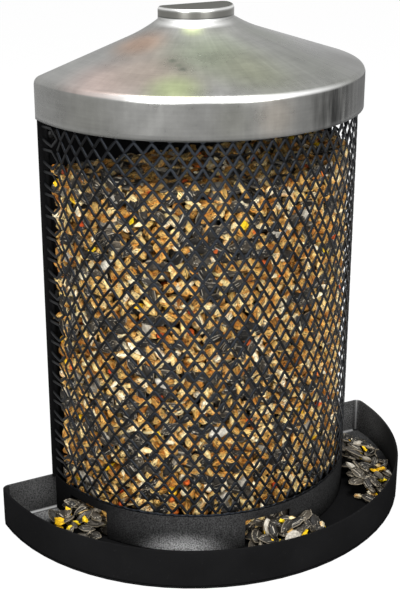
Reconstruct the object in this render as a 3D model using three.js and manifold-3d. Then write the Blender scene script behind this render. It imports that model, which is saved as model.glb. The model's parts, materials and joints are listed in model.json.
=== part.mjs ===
import * as THREE from "three";
import { mergeVertices } from "three/addons/utils/BufferGeometryUtils.js";
import Module from "manifold-3d";

// Half-round seed feeder for a wall or fence.
// A flat steel back plate carries a half cylinder of expanded steel mesh, in upright panels. The mesh
// stands on a banded base with three feed ports, in a D-shaped tray. A half-round lid lifts off for filling.
// Millimetres. +X is right, +Y is towards the wall, +Z is up.
// The origin is the middle of the outline on the ground, under the tray.

// Fits
const seatGap = 0.3; // between pieces that lie against each other
const slideGap = 0.4; // between the lid and what it slides over
const wallGap = 0.3; // between the lid's back and the wall
const overrun = 5; // how far a cutter passes through what it cuts

// Hopper
const bodyRadius = 85; // outside of the mesh half cylinder
const meshThickness = 1.2;
const meshHeight = 214.5;
const meshStrand = 2.6; // width of one strand
const meshBorder = 1.6; // plain edge round the diamonds
const meshPanels = 8; // side by side round the half circle
const panelColumns = 2; // diamonds across a panel
const meshRows = 7;
const hoopSheet = 1; // hoop round the mesh's top edge
const hoopHeight = 14;

// Back plate
const plateSheet = 1;
const plateLapHeight = 18; // narrow foot that laps the tray's back wall, above the floor
const keyholeSpacing = 40;
const keyholeEntryRadius = 4.5;
const keyholeSlotRadius = 2.5;
const keyholeRise = 7; // from the entry's centre up to the slot's end
const keyholeDrop = 14; // the entry's centre, below the lid's skirt
const bossRadius = 11; // pressed pad round a keyhole that reaches back to the wall
const bossDrop = 11.5; // the pad's centre, below the lid's skirt

// Angle strips that hold the mesh's side edges
const angleSheet = 1;
const angleReach = 4; // from the plate's rear face, forward along the mesh
const angleFoot = 8; // leg that lies on the plate
const angleShortfall = 6; // left free under the hoop's top edge

// Base band and its ports
const bandSheet = 1;
const bandHeight = 20.5;
const portWidth = 27.4;
const portHeight = 15.6;
const portTurnDegrees = 69; // side ports, round from the front one

// Tray
const traySheet = 1.1;
const traySideReach = 30.3; // from the hopper out to the tray's outline
const trayFrontReach = 30.7;
const trayStraight = 4.3; // straight side behind the curved front
const trayCornerRadius = 4;
const trayWallHeight = 19.9; // above the floor's seat
const drainRadius = 1.8;
const drainInset = 7; // from the tray's outline to a drain hole's centre
const drainTurnsDegrees = [-80, -40, -22, 22, 40, 80];

// Sloped floor that sends the seed out to the ports
const baffleSheet = 0.8;
const baffleLip = 8; // level ring of seed outside the sloped floor
const baffleRise = 18;

// Lid
const lidSheet = 0.7;
const skirtHeight = 17;
const shoulderRadius = 4;
const lidPitchDegrees = 17.75;
const collarRadius = 20.4;
const collarHeight = 6.1;
const collarEdgeRadius = 2.5;
const flareWidth = 17; // hollow curve from the slope up to the collar
const flareRise = 7.7;
const flareBendShare = 0.45; // where the flare's bend point lies across its width

// Rivets
const rivetShankRadius = 1.5;
const rivetHeadRadius = 3;
const rivetHeadHeight = 1.2;
const rivetTailRadius = 2.4;
const rivetTailHeight = 0.8;
const rivetFlush = 0.2; // a flush rivet's end, in from the wall
const trayRivetHeight = 10.5; // above the ground
const trayRivetSpacing = 42;
const angleRivetInset = 20; // end rivets, in from the angle's ends

// Seed
const fillMeshGap = 3.8; // from the mesh to the seed's outside
const headspace = 37.8; // from the hoop's top down to the seed
const fillGap = 0.5; // over the sloped floor
const pileGap = 4; // from the band to a pile's flat side
const pileMargin = 3.2; // from a pile's foot to the tray's wall
const pileSpread = 10.3; // wider than its port, on each side
const pileFall = 3.6; // lower than its port's top

// Facets
const ringSteps = 32;
const lidSteps = 64;
const traySteps = 36;
const holeSteps = 12;
const roundSteps = 3;
const rivetSteps = 8;

// Levels, from the ground up
const bandBottom = traySheet + seatGap;
const bandTop = bandBottom + bandHeight;
const meshBottom = bandTop + seatGap;
const hoopTop = meshBottom + meshHeight;
const fillTop = hoopTop - headspace;

// Places, forward from the wall
const standoff = Math.max(traySheet + seatGap, slideGap + lidSheet + wallGap);
const plateFront = standoff + plateSheet;
const edgeTrim = plateSheet + seatGap; // round pieces stop here, in front of their own axis

// Radii and half widths
const meshInnerRadius = bodyRadius - meshThickness;
const hoopInnerRadius = bodyRadius + seatGap;
const hoopRadius = hoopInnerRadius + hoopSheet;
const lidRadius = hoopRadius + slideGap + lidSheet;
const bandInnerRadius = bodyRadius - bandSheet;
const angleFace = Math.sqrt(meshInnerRadius ** 2 - angleReach ** 2) - seatGap;
const rivetHoleRadius = rivetShankRadius + seatGap;
const fillRadius = meshInnerRadius - fillMeshGap;
const baffleRadius = fillRadius - baffleLip;
const trayHalfWidth = bodyRadius + traySideReach;
const trayDepth = standoff + bodyRadius + trayFrontReach; // wall to front
const pileHalfWidth = portWidth / 2 + pileSpread;
const pileHeight = portHeight - pileFall;

// The lid's shoulder rests on the hoop's outer top edge.
const shoulderFall = shoulderRadius - lidSheet - slideGap;
const lidSeat = skirtHeight + Math.sqrt((shoulderRadius - lidSheet) ** 2 - shoulderFall ** 2);
const lidBottom = hoopTop + seatGap - lidSeat;

const wasm = await Module();
wasm.setup();

const radians = THREE.MathUtils.degToRad;

function finish(color, roughness, metalness) {
  return new THREE.MeshStandardMaterial({ color, roughness, metalness });
}

const blackCoat = finish(0x17181a, 0.55, 0.3);
const meshCoat = finish(0x2c3238, 0.45, 0.5);
const lidSteel = finish(0x9a9c96, 0.35, 0.9);
const rivetSteel = finish(0x55585a, 0.4, 0.8);
const seedMix = finish(0xb98a4e, 0.85, 0);

// A closed geometry as a solid, with its faces turned outwards.
function solid(geometry) {
  const bare = geometry.clone();
  bare.deleteAttribute("normal");
  bare.deleteAttribute("uv");
  const welded = mergeVertices(bare);
  const vertProperties = new Float32Array(welded.attributes.position.array);
  const corner = new THREE.Vector3();
  const second = new THREE.Vector3();
  const third = new THREE.Vector3();
  const triangles = [];
  let volume = 0;
  for (let i = 0; i < welded.index.count; i += 3) {
    const [a, b, c] = [0, 1, 2].map((k) => welded.index.getX(i + k));
    if (a === b || b === c || c === a) continue;
    triangles.push([a, b, c]);
    corner.fromArray(vertProperties, 3 * a);
    second.fromArray(vertProperties, 3 * b);
    third.fromArray(vertProperties, 3 * c);
    volume += corner.dot(second.cross(third));
  }
  const outward = volume < 0 ? triangles.map(([a, b, c]) => [a, c, b]) : triangles;
  const mesh = new wasm.Mesh({ numProp: 3, vertProperties, triVerts: new Uint32Array(outward.flat()) });
  return new wasm.Manifold(mesh);
}

function surface(body) {
  const mesh = body.getMesh();
  const geometry = new THREE.BufferGeometry();
  geometry.setAttribute("position", new THREE.BufferAttribute(new Float32Array(mesh.vertProperties), 3));
  geometry.setIndex(new THREE.BufferAttribute(new Uint32Array(mesh.triVerts), 1));
  geometry.computeVertexNormals();
  return geometry;
}

function named(name, body, material) {
  const mesh = new THREE.Mesh(surface(body), material);
  mesh.name = name;
  return mesh;
}

function joined(bodies) {
  return bodies.reduce((whole, body) => whole.add(body));
}

// Box from its lowest to its highest corner.
function block(low, high) {
  const size = high.map((value, i) => value - low[i]);
  const middle = high.map((value, i) => (value + low[i]) / 2);
  return solid(new THREE.BoxGeometry(...size).translate(...middle));
}

// A plan outline raised from a level.
function raised(shape, bottom, height) {
  const geometry = new THREE.ExtrudeGeometry(shape, { depth: height, bevelEnabled: false });
  return solid(geometry.translate(0, 0, bottom));
}

// An outline in X and Z as a sheet, from its rear face forward.
function upright(shape, rear, thickness) {
  const geometry = new THREE.ExtrudeGeometry(shape, { depth: thickness, bevelEnabled: false });
  return solid(geometry.rotateX(Math.PI / 2).translate(0, rear, 0));
}

// A profile of radius and height turned about the Z axis.
function turned(points, steps) {
  const profile = points.map(([radius, height]) => new THREE.Vector2(radius, height));
  return solid(new THREE.LatheGeometry(profile, steps).rotateX(Math.PI / 2));
}

// A round bar along Y, used as a cutter or a pad.
function crossBar(radius, x, z, rear, front) {
  const geometry = new THREE.CylinderGeometry(radius, radius, rear - front, holeSteps);
  return solid(geometry.translate(x, (rear + front) / 2, z));
}

function polygon(points) {
  return new THREE.Shape(points.map(([x, y]) => new THREE.Vector2(x, y)));
}

// Half ring round the hopper's axis, open towards the wall.
function halfRing(outer, inner, bottom, height) {
  const turns = Array.from({ length: ringSteps + 1 }, (_, i) => -Math.PI / 2 + (Math.PI * i) / ringSteps);
  const arc = (radius) => turns.map((turn) => [radius * Math.sin(turn), -radius * Math.cos(turn)]);
  return raised(polygon([...arc(outer), ...arc(inner).reverse()]), bottom, height);
}

// The part of a body in front of a plane across Y.
function inFront(body, plane) {
  const reach = trayDepth + bodyRadius;
  const far = hoopTop + reach;
  return body.intersect(block([-reach, -reach, -reach], [reach, plane, far]));
}

// Expanded mesh: two interleaved lattices of diamonds, cut square through the wall.
function meshSheet() {
  const meshColumns = meshPanels * panelColumns;
  const halfCell = (Math.PI * bodyRadius) / meshColumns / 2;
  const halfPitch = (meshHeight - 2 * meshBorder) / meshRows / 2;
  const side = Math.hypot(halfCell, halfPitch);
  const halfWidth = halfCell - ((meshStrand / 2) * side) / halfPitch;
  const halfHeight = halfPitch - ((meshStrand / 2) * side) / halfCell;
  const diamond = polygon([[halfWidth, 0], [0, halfHeight], [-halfWidth, 0], [0, -halfHeight]]);
  const depth = meshThickness + 2 * overrun;
  const holes = [];
  for (let column = 1; column < 2 * meshColumns; column += 1) {
    const turn = -Math.PI / 2 + (Math.PI * column) / (2 * meshColumns);
    const lowest = column % 2;
    for (let row = lowest; row <= 2 * meshRows; row += 2) {
      const geometry = new THREE.ExtrudeGeometry(diamond, { depth, bevelEnabled: false });
      geometry.rotateX(Math.PI / 2).translate(0, overrun - meshInnerRadius, 0).rotateZ(turn);
      geometry.translate(0, 0, meshBottom + meshBorder + row * halfPitch);
      holes.push(solid(geometry));
    }
  }
  const window = inFront(
    halfRing(bodyRadius + overrun, meshInnerRadius - overrun, meshBottom + meshBorder, meshHeight - 2 * meshBorder),
    -edgeTrim - meshBorder,
  );
  const tube = inFront(halfRing(bodyRadius, meshInnerRadius, meshBottom, meshHeight), -edgeTrim);
  return tube.subtract(wasm.Manifold.union(holes).intersect(window));
}

// One upright panel of the sheet, between two turns round the axis, with half a gap free at each.
function meshPanel(sheet, index) {
  const [start, end] = [index, index + 1].map((edge) => -90 + (180 * edge) / meshPanels);
  const reach = bodyRadius + overrun;
  const foot = meshBottom - overrun;
  const top = hoopTop + overrun;
  const rightHalf = block([seatGap / 2, -reach, foot], [reach, reach, top]);
  const leftHalf = block([-reach, -reach, foot], [-seatGap / 2, reach, top]);
  return sheet.intersect(rightHalf.rotate([0, 0, start])).intersect(leftHalf.rotate([0, 0, end]));
}

function meshTopHoop() {
  return inFront(halfRing(hoopRadius, hoopInnerRadius, hoopTop - hoopHeight, hoopHeight), -edgeTrim);
}

// Band with its three ports open down to the floor.
function baseBand() {
  const ring = inFront(halfRing(bodyRadius, bandInnerRadius, bandBottom, bandHeight), -edgeTrim);
  const port = block(
    [-portWidth / 2, -bodyRadius - overrun, bandBottom - overrun],
    [portWidth / 2, -bodyRadius + 2 * overrun, bandBottom + portHeight],
  );
  const ports = [-portTurnDegrees, 0, portTurnDegrees].map((turn) => port.rotate([0, 0, turn]));
  return ring.subtract(joined(ports));
}

// Keyhole: a round entry with a narrow slot above it.
function keyhole(x, z, rear, front) {
  const entry = crossBar(keyholeEntryRadius, x, z, rear, front);
  const end = crossBar(keyholeSlotRadius, x, z + keyholeRise, rear, front);
  const slot = block([x - keyholeSlotRadius, front, z], [x + keyholeSlotRadius, rear, z + keyholeRise]);
  return joined([entry, end, slot]);
}

// Places are forward from the wall here, so the plate's rear face is at minus the standoff.
function backPlate() {
  const lapTop = bandBottom + plateLapHeight;
  const lapHalf = bandInnerRadius - seatGap;
  const outline = [
    [lapHalf, bandBottom],
    [lapHalf, lapTop + traySheet],
    [hoopRadius, lapTop + traySheet],
    [hoopRadius, hoopTop],
  ];
  const mirrored = outline.map(([x, z]) => [-x, z]).reverse();
  let plate = upright(polygon([...outline, ...mirrored]), -standoff, plateSheet);
  for (const side of [-1, 1]) {
    const x = (side * keyholeSpacing) / 2;
    const padLevel = lidBottom - bossDrop;
    plate = plate.add(crossBar(bossRadius, x, padLevel, 0, -standoff - plateSheet));
    plate = plate.subtract(crossBar(bossRadius - plateSheet, x, padLevel, -plateSheet, -plateFront - overrun));
    plate = plate.subtract(keyhole(x, lidBottom - keyholeDrop, overrun, -plateFront - overrun));
  }
  for (const place of [...trayRivetPlaces, ...angleRivetPlaces]) {
    plate = plate.subtract(crossBar(rivetHoleRadius, place.x, place.z, overrun, -plateFront - overrun));
  }
  return plate;
}

const angleBottom = meshBottom;
const angleTop = hoopTop - angleShortfall;

// L-shaped strip: one leg on the plate, the other forward inside the mesh.
function meshAngle(side) {
  const rear = -plateFront - seatGap;
  const front = -standoff - angleReach;
  const inner = angleFace - angleSheet;
  const points = [
    [angleFace, rear],
    [angleFace, front],
    [inner, front],
    [inner, rear - angleSheet],
    [angleFace - angleFoot, rear - angleSheet],
    [angleFace - angleFoot, rear],
  ];
  const strip = raised(polygon(points.map(([x, y]) => [side * x, y])), angleBottom, angleTop - angleBottom);
  const holes = angleRivetPlaces
    .filter((place) => place.x * side > 0)
    .map((place) => crossBar(rivetHoleRadius, place.x, place.z, rear + overrun, rear - angleReach));
  return strip.subtract(joined(holes));
}

const trayRivetPlaces = [-1.5, -0.5, 0.5, 1.5].map((step) => ({
  name: `tray_rivet_${step + 2.5}`,
  x: step * trayRivetSpacing,
  z: trayRivetHeight,
}));

const angleRivetPlaces = [-1, 1].flatMap((side) =>
  [0, 1, 2].map((step) => ({
    name: `angle_rivet_${side < 0 ? "left" : "right"}_${step + 1}`,
    x: side * (angleFace - angleFoot / 2),
    z: angleBottom + angleRivetInset + (step * (angleTop - angleBottom - 2 * angleRivetInset)) / 2,
  })),
);

// Domed rivet along Y: from its rear end forward to the underside of its head.
function rivet(rear, seat, tailRadius, tailHeight) {
  const length = rear - seat;
  const dome = Array.from({ length: roundSteps + 1 }, (_, i) => {
    const turn = (Math.PI * i) / (2 * roundSteps);
    return [rivetHeadRadius * Math.cos(turn), length + rivetHeadHeight * Math.sin(turn)];
  });
  const points = [[0, 0], [tailRadius, 0], [tailRadius, tailHeight], [rivetShankRadius, tailHeight]];
  points.push([rivetShankRadius, length], ...dome.slice(0, -1), [0, length + rivetHeadHeight]);
  return turned(points, rivetSteps).rotate([90, 0, 0]).translate([0, rear, 0]);
}

// D-shaped plan outline, set in from the tray's own: back line, round corners and curved front.
function trayOutline(inset) {
  const corner = trayCornerRadius - inset;
  const cornerX = trayHalfWidth - trayCornerRadius;
  const points = [];
  for (let i = 0; i <= roundSteps; i += 1) {
    const turn = (Math.PI / 2) * (1 - i / roundSteps);
    points.push([cornerX + corner * Math.cos(turn), -trayCornerRadius + corner * Math.sin(turn)]);
  }
  for (let i = 0; i <= traySteps; i += 1) {
    const turn = (-Math.PI * i) / traySteps;
    const x = (trayHalfWidth - inset) * Math.cos(turn);
    points.push([x, -trayStraight + (trayDepth - trayStraight - inset) * Math.sin(turn)]);
  }
  for (let i = 0; i <= roundSteps; i += 1) {
    const turn = Math.PI - (Math.PI / 2) * (i / roundSteps);
    points.push([-cornerX + corner * Math.cos(turn), -trayCornerRadius + corner * Math.sin(turn)]);
  }
  return polygon(points);
}

function trayFloor() {
  let floor = raised(trayOutline(0), 0, traySheet);
  for (const degrees of drainTurnsDegrees) {
    const turn = radians(degrees);
    const x = (trayHalfWidth - drainInset) * Math.sin(turn);
    const y = -trayStraight - (trayDepth - trayStraight - drainInset) * Math.cos(turn);
    const bar = new THREE.CylinderGeometry(drainRadius, drainRadius, 2 * overrun, holeSteps);
    floor = floor.subtract(solid(bar.rotateX(Math.PI / 2).translate(x, y, 0)));
  }
  return floor;
}

const backWallHalf = trayHalfWidth - trayCornerRadius;

function trayFrontWall() {
  const outer = raised(trayOutline(0), bandBottom, trayWallHeight);
  const inner = raised(trayOutline(traySheet), bandBottom - overrun, trayWallHeight + 2 * overrun);
  const back = block(
    [-backWallHalf, -traySheet - seatGap, bandBottom - overrun],
    [backWallHalf, overrun, bandBottom + trayWallHeight + overrun],
  );
  return outer.subtract(inner).subtract(back);
}

function trayBackWall() {
  const half = backWallHalf - seatGap;
  let wall = block([-half, -traySheet, bandBottom], [half, 0, bandBottom + trayWallHeight]);
  for (const place of trayRivetPlaces) {
    wall = wall.subtract(crossBar(rivetHoleRadius, place.x, place.z, overrun, -traySheet - overrun));
  }
  return wall;
}

// Rear limit of what lies inside the hopper: clear of the rivets' heads.
const insideRear = -plateFront - 3 * seatGap - angleSheet - rivetHeadHeight;

function seedBaffle() {
  const foot = bandBottom;
  const lip = (baffleSheet * Math.hypot(baffleRadius, baffleRise)) / baffleRise;
  const top = foot + baffleRise;
  const drop = (baffleSheet * Math.hypot(baffleRadius, baffleRise)) / baffleRadius;
  const cone = turned([[0, top - drop], [baffleRadius - lip, foot], [baffleRadius, foot], [0, top]], lidSteps);
  return inFront(cone, insideRear + standoff);
}

function seedFill() {
  const foot = bandBottom + fillGap;
  const cone = [[0, foot + baffleRise], [baffleRadius, foot], [fillRadius, foot]];
  return inFront(turned([...cone, [fillRadius, fillTop], [0, fillTop]], ringSteps * 2), insideRear + standoff);
}

// Spilt seed outside one port: a quarter of an egg with a flat side towards the port.
// The tray's reach on that side says how far it spreads.
function seedPile(degrees, trayReach) {
  const reach = trayReach - traySheet - pileGap - pileMargin;
  const egg = new THREE.SphereGeometry(1, ringSteps, ringSteps / 2);
  egg.rotateX(Math.PI / 2).scale(pileHalfWidth, reach, pileHeight);
  const half = block([-bodyRadius, -bodyRadius, 0], [bodyRadius, 0, bodyRadius]);
  return solid(egg)
    .intersect(half)
    .translate([0, -bodyRadius - pileGap, traySheet + seatGap])
    .rotate([0, 0, degrees]);
}

// Lid profile of radius and height, from the skirt's foot to the middle of the top.
// The inset moves the whole line inwards by a thickness.
function lidProfile(inset) {
  const pitch = radians(lidPitchDegrees);
  const across = inset * Math.sin(pitch);
  const down = inset * Math.cos(pitch);
  const shoulder = lidRadius - shoulderRadius;
  const points = [[lidRadius - inset, 0]];
  for (let i = 0; i <= roundSteps; i += 1) {
    const turn = ((Math.PI / 2 - pitch) * i) / roundSteps;
    const radius = shoulderRadius - inset;
    points.push([shoulder + radius * Math.cos(turn), skirtHeight + radius * Math.sin(turn)]);
  }
  const slopeFoot = shoulder + shoulderRadius * Math.sin(pitch);
  const slopeLevel = skirtHeight + shoulderRadius * Math.cos(pitch);
  const slopeAt = (radius) => slopeLevel + (slopeFoot - radius) * Math.tan(pitch);
  const flareFoot = collarRadius + flareWidth;
  const bend = collarRadius + flareWidth * flareBendShare;
  const flareTop = slopeAt(flareFoot) + flareRise;
  const top = flareTop + collarHeight;
  const flare = new THREE.QuadraticBezierCurve(
    new THREE.Vector2(flareFoot - across, slopeAt(flareFoot) - down),
    new THREE.Vector2(bend - across, slopeAt(bend) - down),
    new THREE.Vector2(collarRadius - inset, flareTop - inset),
  );
  points.push(...flare.getPoints(roundSteps).map((point) => [point.x, point.y]));
  for (let i = 0; i <= roundSteps; i += 1) {
    const turn = (Math.PI * i) / (2 * roundSteps);
    const radius = collarEdgeRadius - inset;
    const centre = collarRadius - collarEdgeRadius;
    points.push([centre + radius * Math.cos(turn), top - collarEdgeRadius + radius * Math.sin(turn)]);
  }
  points.push([0, top - inset]);
  return points;
}

// The lid's pieces are drawn about the hopper's axis, with the skirt's foot at zero.
function lidShell() {
  const outer = turned([[0, 0], ...lidProfile(0)], lidSteps);
  const inner = turned([[0, -overrun], [lidRadius - lidSheet, -overrun], ...lidProfile(lidSheet)], lidSteps);
  return inFront(outer.subtract(inner), slideGap - seatGap);
}

function lidBackPanel() {
  const half = lidProfile(0);
  const mirrored = half.slice(0, -1).map(([x, z]) => [-x, z]).reverse();
  return upright(polygon([...half, ...mirrored]), slideGap + lidSheet, lidSheet);
}

const feeder = new THREE.Group();
feeder.position.y = trayDepth / 2;

// Pieces placed from the wall
feeder.add(
  named("back_plate", backPlate(), blackCoat),
  named("mesh_angle_left", meshAngle(-1), blackCoat),
  named("mesh_angle_right", meshAngle(1), blackCoat),
  named("tray_floor", trayFloor(), blackCoat),
  named("tray_front_wall", trayFrontWall(), blackCoat),
  named("tray_back_wall", trayBackWall(), blackCoat),
);
for (const place of trayRivetPlaces) {
  const body = rivet(-rivetFlush, -plateFront - seatGap, rivetShankRadius, rivetTailHeight);
  const mesh = named(place.name, body, rivetSteel);
  mesh.position.set(place.x, 0, place.z);
  feeder.add(mesh);
}
for (const place of angleRivetPlaces) {
  const seat = -plateFront - 2 * seatGap - angleSheet;
  const body = rivet(-standoff + seatGap + rivetTailHeight, seat, rivetTailRadius, rivetTailHeight);
  const mesh = named(place.name, body, rivetSteel);
  mesh.position.set(place.x, 0, place.z);
  feeder.add(mesh);
}

// Pieces placed about the hopper's axis, on the plate's rear face
const hopper = new THREE.Group();
hopper.position.y = -standoff;
const sheet = meshSheet();
for (let i = 0; i < meshPanels; i += 1) {
  hopper.add(named(`mesh_panel_${i + 1}`, meshPanel(sheet, i), meshCoat));
}
hopper.add(
  named("mesh_top_hoop", meshTopHoop(), blackCoat),
  named("base_band", baseBand(), blackCoat),
  named("seed_baffle", seedBaffle(), blackCoat),
  named("seed_fill", seedFill(), seedMix),
  named("seed_pile_left", seedPile(-portTurnDegrees, traySideReach), seedMix),
  named("seed_pile_front", seedPile(0, trayFrontReach), seedMix),
  named("seed_pile_right", seedPile(portTurnDegrees, traySideReach), seedMix),
);
feeder.add(hopper);

const lid = new THREE.Group();
lid.position.z = lidBottom;
lid.add(named("lid_shell", lidShell(), lidSteel), named("lid_back_panel", lidBackPanel(), lidSteel));
hopper.add(lid);

export default feeder;
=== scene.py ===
import json
import math

import bmesh
import bpy
import numpy as np
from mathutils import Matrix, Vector

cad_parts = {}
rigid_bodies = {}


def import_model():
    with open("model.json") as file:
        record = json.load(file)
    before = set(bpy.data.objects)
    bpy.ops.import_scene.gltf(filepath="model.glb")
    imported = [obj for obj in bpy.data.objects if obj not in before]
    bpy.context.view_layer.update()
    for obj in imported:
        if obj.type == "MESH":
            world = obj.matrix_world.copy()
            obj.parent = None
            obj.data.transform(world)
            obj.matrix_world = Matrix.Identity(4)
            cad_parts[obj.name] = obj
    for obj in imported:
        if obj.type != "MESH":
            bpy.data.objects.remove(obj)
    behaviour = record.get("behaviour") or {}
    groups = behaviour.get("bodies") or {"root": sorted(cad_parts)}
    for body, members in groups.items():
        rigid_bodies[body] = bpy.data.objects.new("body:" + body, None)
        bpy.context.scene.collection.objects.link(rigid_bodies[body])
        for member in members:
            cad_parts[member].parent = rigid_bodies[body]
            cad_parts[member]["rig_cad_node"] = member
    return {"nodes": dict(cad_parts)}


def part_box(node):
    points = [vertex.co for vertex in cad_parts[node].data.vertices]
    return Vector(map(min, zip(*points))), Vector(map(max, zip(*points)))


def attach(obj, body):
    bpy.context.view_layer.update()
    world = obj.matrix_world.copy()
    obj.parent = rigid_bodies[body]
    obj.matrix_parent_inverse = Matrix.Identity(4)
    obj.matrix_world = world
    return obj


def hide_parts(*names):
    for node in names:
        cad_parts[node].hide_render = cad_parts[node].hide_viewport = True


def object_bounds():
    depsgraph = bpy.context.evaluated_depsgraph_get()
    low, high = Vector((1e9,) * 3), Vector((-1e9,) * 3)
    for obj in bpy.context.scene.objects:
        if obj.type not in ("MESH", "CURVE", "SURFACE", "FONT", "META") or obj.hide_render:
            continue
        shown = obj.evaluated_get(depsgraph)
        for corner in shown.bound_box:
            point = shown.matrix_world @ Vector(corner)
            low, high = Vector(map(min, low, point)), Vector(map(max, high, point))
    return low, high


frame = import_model()
CAD_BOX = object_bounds()

bl_info = {
    "name": "Half-round Seed Feeder",
    "version": (1, 0, 0),
    "blender": (4, 5, 0),
    "location": "3D Viewport > Sidebar > Feeder",
    "description": "Dresses the packed seed feeder with mesh, seed, a steel lid and a black tray",
    "category": "Add Mesh",
}

MM = 0.001
PLATE_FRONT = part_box("back_plate")[0].y
PLATE_SHEET = 1.0 * MM
AXIS_Y = PLATE_FRONT + PLATE_SHEET  # the hopper's upright axis stands on the plate's rear face
WALL_Y = CAD_BOX[1].y
BAND_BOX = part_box("base_band")
LID_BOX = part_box("lid_shell")
TRAY_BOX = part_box("tray_front_wall")
FLOOR_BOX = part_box("tray_floor")
MESH_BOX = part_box("mesh_panel_4")
HOOP_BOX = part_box("mesh_top_hoop")
FILL_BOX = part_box("seed_fill")
PANELS = [f"mesh_panel_{i}" for i in range(1, 9)]
RNG_SEED = 20
TOUCH = 1e-6  # an edge shorter than this, in metres, is no edge
EDGE_ROUNDING = 0.4 * MM  # of the band's and the hoop's sheet
HOOP_SHEET = 1.0 * MM
ROUND_STATIONS = 91  # points along a half circle


# Sizes and colours


def size(name, description, value, low=0.0, high=1.0):
    """A length in metres."""
    return bpy.props.FloatProperty(name=name, description=description, default=value, min=low,
                                   max=high, precision=5, subtype="DISTANCE", unit="LENGTH")


def turn(name, description, degrees):
    """An angle, given in degrees."""
    return bpy.props.FloatProperty(name=name, description=description,
                                   default=math.radians(degrees), subtype="ANGLE", unit="ROTATION")


def share(name, description, value):
    """A part of a whole, from 0 to 1."""
    return bpy.props.FloatProperty(name=name, description=description, default=value,
                                   min=0.0, max=1.0, subtype="FACTOR")


def colour(name, description, value):
    """A linear colour."""
    return bpy.props.FloatVectorProperty(name=name, description=description, default=value,
                                         size=3, min=0.0, max=1.0, subtype="COLOR")


class HopperSizes(bpy.types.PropertyGroup):
    """Sizes of the half cylinder and of its base band"""
    radius: size("Radius", "Outer radius of the mesh and the band", AXIS_Y - BAND_BOX[0].y)
    band_sheet: size("Band sheet", "Thickness of the base band", 1.0 * MM)
    port_width: size("Port width", "Width of a feed port along the band", 27.4 * MM)
    port_top: size("Port top", "Height of a feed port's upper edge above the ground", 17.0 * MM)
    port_turn: turn("Port turn", "Turn of the side ports from the front", 69)
    port_corner: size("Port corner", "Radius of a feed port's upper corners", 1.2 * MM)


class MeshSizes(bpy.types.PropertyGroup):
    """Sizes of the expanded mesh, its strands and its flange"""
    column_step: size("Column step", "Step between two columns of joints", 3.2895 * MM)
    row_pitch: size("Row pitch", "Height of one diamond", 11.373 * MM)
    strand_width: size("Strand width", "Width of a strand in the sheet", 1.46 * MM)
    strand_depth: size("Strand depth", "Thickness of a strand through the sheet", 0.75 * MM)
    first_column: size("First column", "Place of a column of joints near the front", 0.7225 * MM, -1.0)
    first_row: size("First row", "Height of a row of joints", 0.8925 * MM)
    side_stretch: bpy.props.FloatProperty(
        name="Side stretch", description="Column step beyond 45 degrees over the step before",
        default=1.045, min=0.5, max=2.0)
    elbow_turn: turn("Elbow turn", "Turn at which the strands bend into the flange", 81.7)
    elbow_gap: size("Elbow gap", "Height between the two strands that leave an elbow", 2.6 * MM)
    flange_rise: size("Flange rise", "Rise of an elbow's upper strand along the flange", 1.8 * MM)
    flange_drop: size("Flange drop", "Drop of an elbow's lower strand along the flange", 0.9 * MM)
    end_turn: turn("End turn", "Turn at which the flange's strands end", 88.2)


class TraySizes(bpy.types.PropertyGroup):
    """Sizes of the tray's walls"""
    sheet: size("Sheet", "Thickness of the tray's sheet", 1.1 * MM)
    straight: size("Straight", "Straight side behind the curved front", 4.3 * MM)
    corner: size("Corner", "Radius of the tray's rear corners", 4.0 * MM)
    rim: size("Rim", "Rounding of the rim's edge", 0.45 * MM)


class LidSizes(bpy.types.PropertyGroup):
    """Sizes of the pressed lid"""
    radius: size("Radius", "Outer radius of the skirt", AXIS_Y - LID_BOX[0].y)
    sheet: size("Sheet", "Thickness of the lid's sheet", 0.7 * MM)
    skirt: size("Skirt", "Height of the skirt", 17.0 * MM)
    shoulder: size("Shoulder", "Radius of the fold above the skirt", 4.0 * MM)
    pitch: turn("Pitch", "Slope of the cone", 17.75)
    collar: size("Collar", "Radius of the collar", 20.4 * MM)
    collar_height: size("Collar height", "Height of the collar", 6.1 * MM)
    collar_edge: size("Collar edge", "Radius of the collar's upper edge", 1.5 * MM)
    flare: size("Flare", "Width of the hollow curve below the collar", 17.0 * MM)
    flare_bend: share("Flare bend", "Where the flare's bend lies across its width", 0.45)
    back_corner: size("Back corner", "Radius of the rolled rear edges", 2.6 * MM)


class SeedSizes(bpy.types.PropertyGroup):
    """How the seeds fill the hopper and the piles"""
    spacing: size("Spacing", "Spacing of the seeds in a layer", 4.7 * MM)
    outer_radius: size("Outer radius", "How far out the seeds reach behind the mesh", 81.2 * MM)
    core_radius: size("Core radius", "Radius of the dark core behind the seeds", 72.5 * MM)
    pile_height: size("Pile height", "Height of a pile at its middle", 14.0 * MM)


class Finishes(bpy.types.PropertyGroup):
    """Base colours of the sheet metal"""
    steel: colour("Lid steel", "Grey of the galvanised steel", (0.25, 0.25, 0.24))
    coat: colour("Powder coat", "Black of the tray, band and plate", (0.0050, 0.0050, 0.0052))
    strand: colour("Mesh coat", "Blue-black of the mesh", (0.0082, 0.0102, 0.0134))
    rivet: colour("Rivet steel", "Dark steel of the rivets", (0.012, 0.012, 0.012))


# Meshes from whole arrays


def grid_faces(rows, columns, close_columns=False):
    """Quads between the points of a grid: each joins a point, the next row's and their neighbours."""
    i = np.arange(rows - 1)[:, None]
    j = np.arange(columns if close_columns else columns - 1)[None, :]
    k = (j + 1) % columns
    corners = [i * columns + j, (i + 1) * columns + j, (i + 1) * columns + k, i * columns + k]
    return np.stack([np.broadcast_to(c, (rows - 1, j.size)) for c in corners], -1).reshape(-1, 4)


def repeat_faces(faces, count, stride):
    """The same faces for each of many equal blocks of points."""
    return (faces[None] + stride * np.arange(count)[:, None, None]).reshape(-1, faces.shape[-1])


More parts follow.
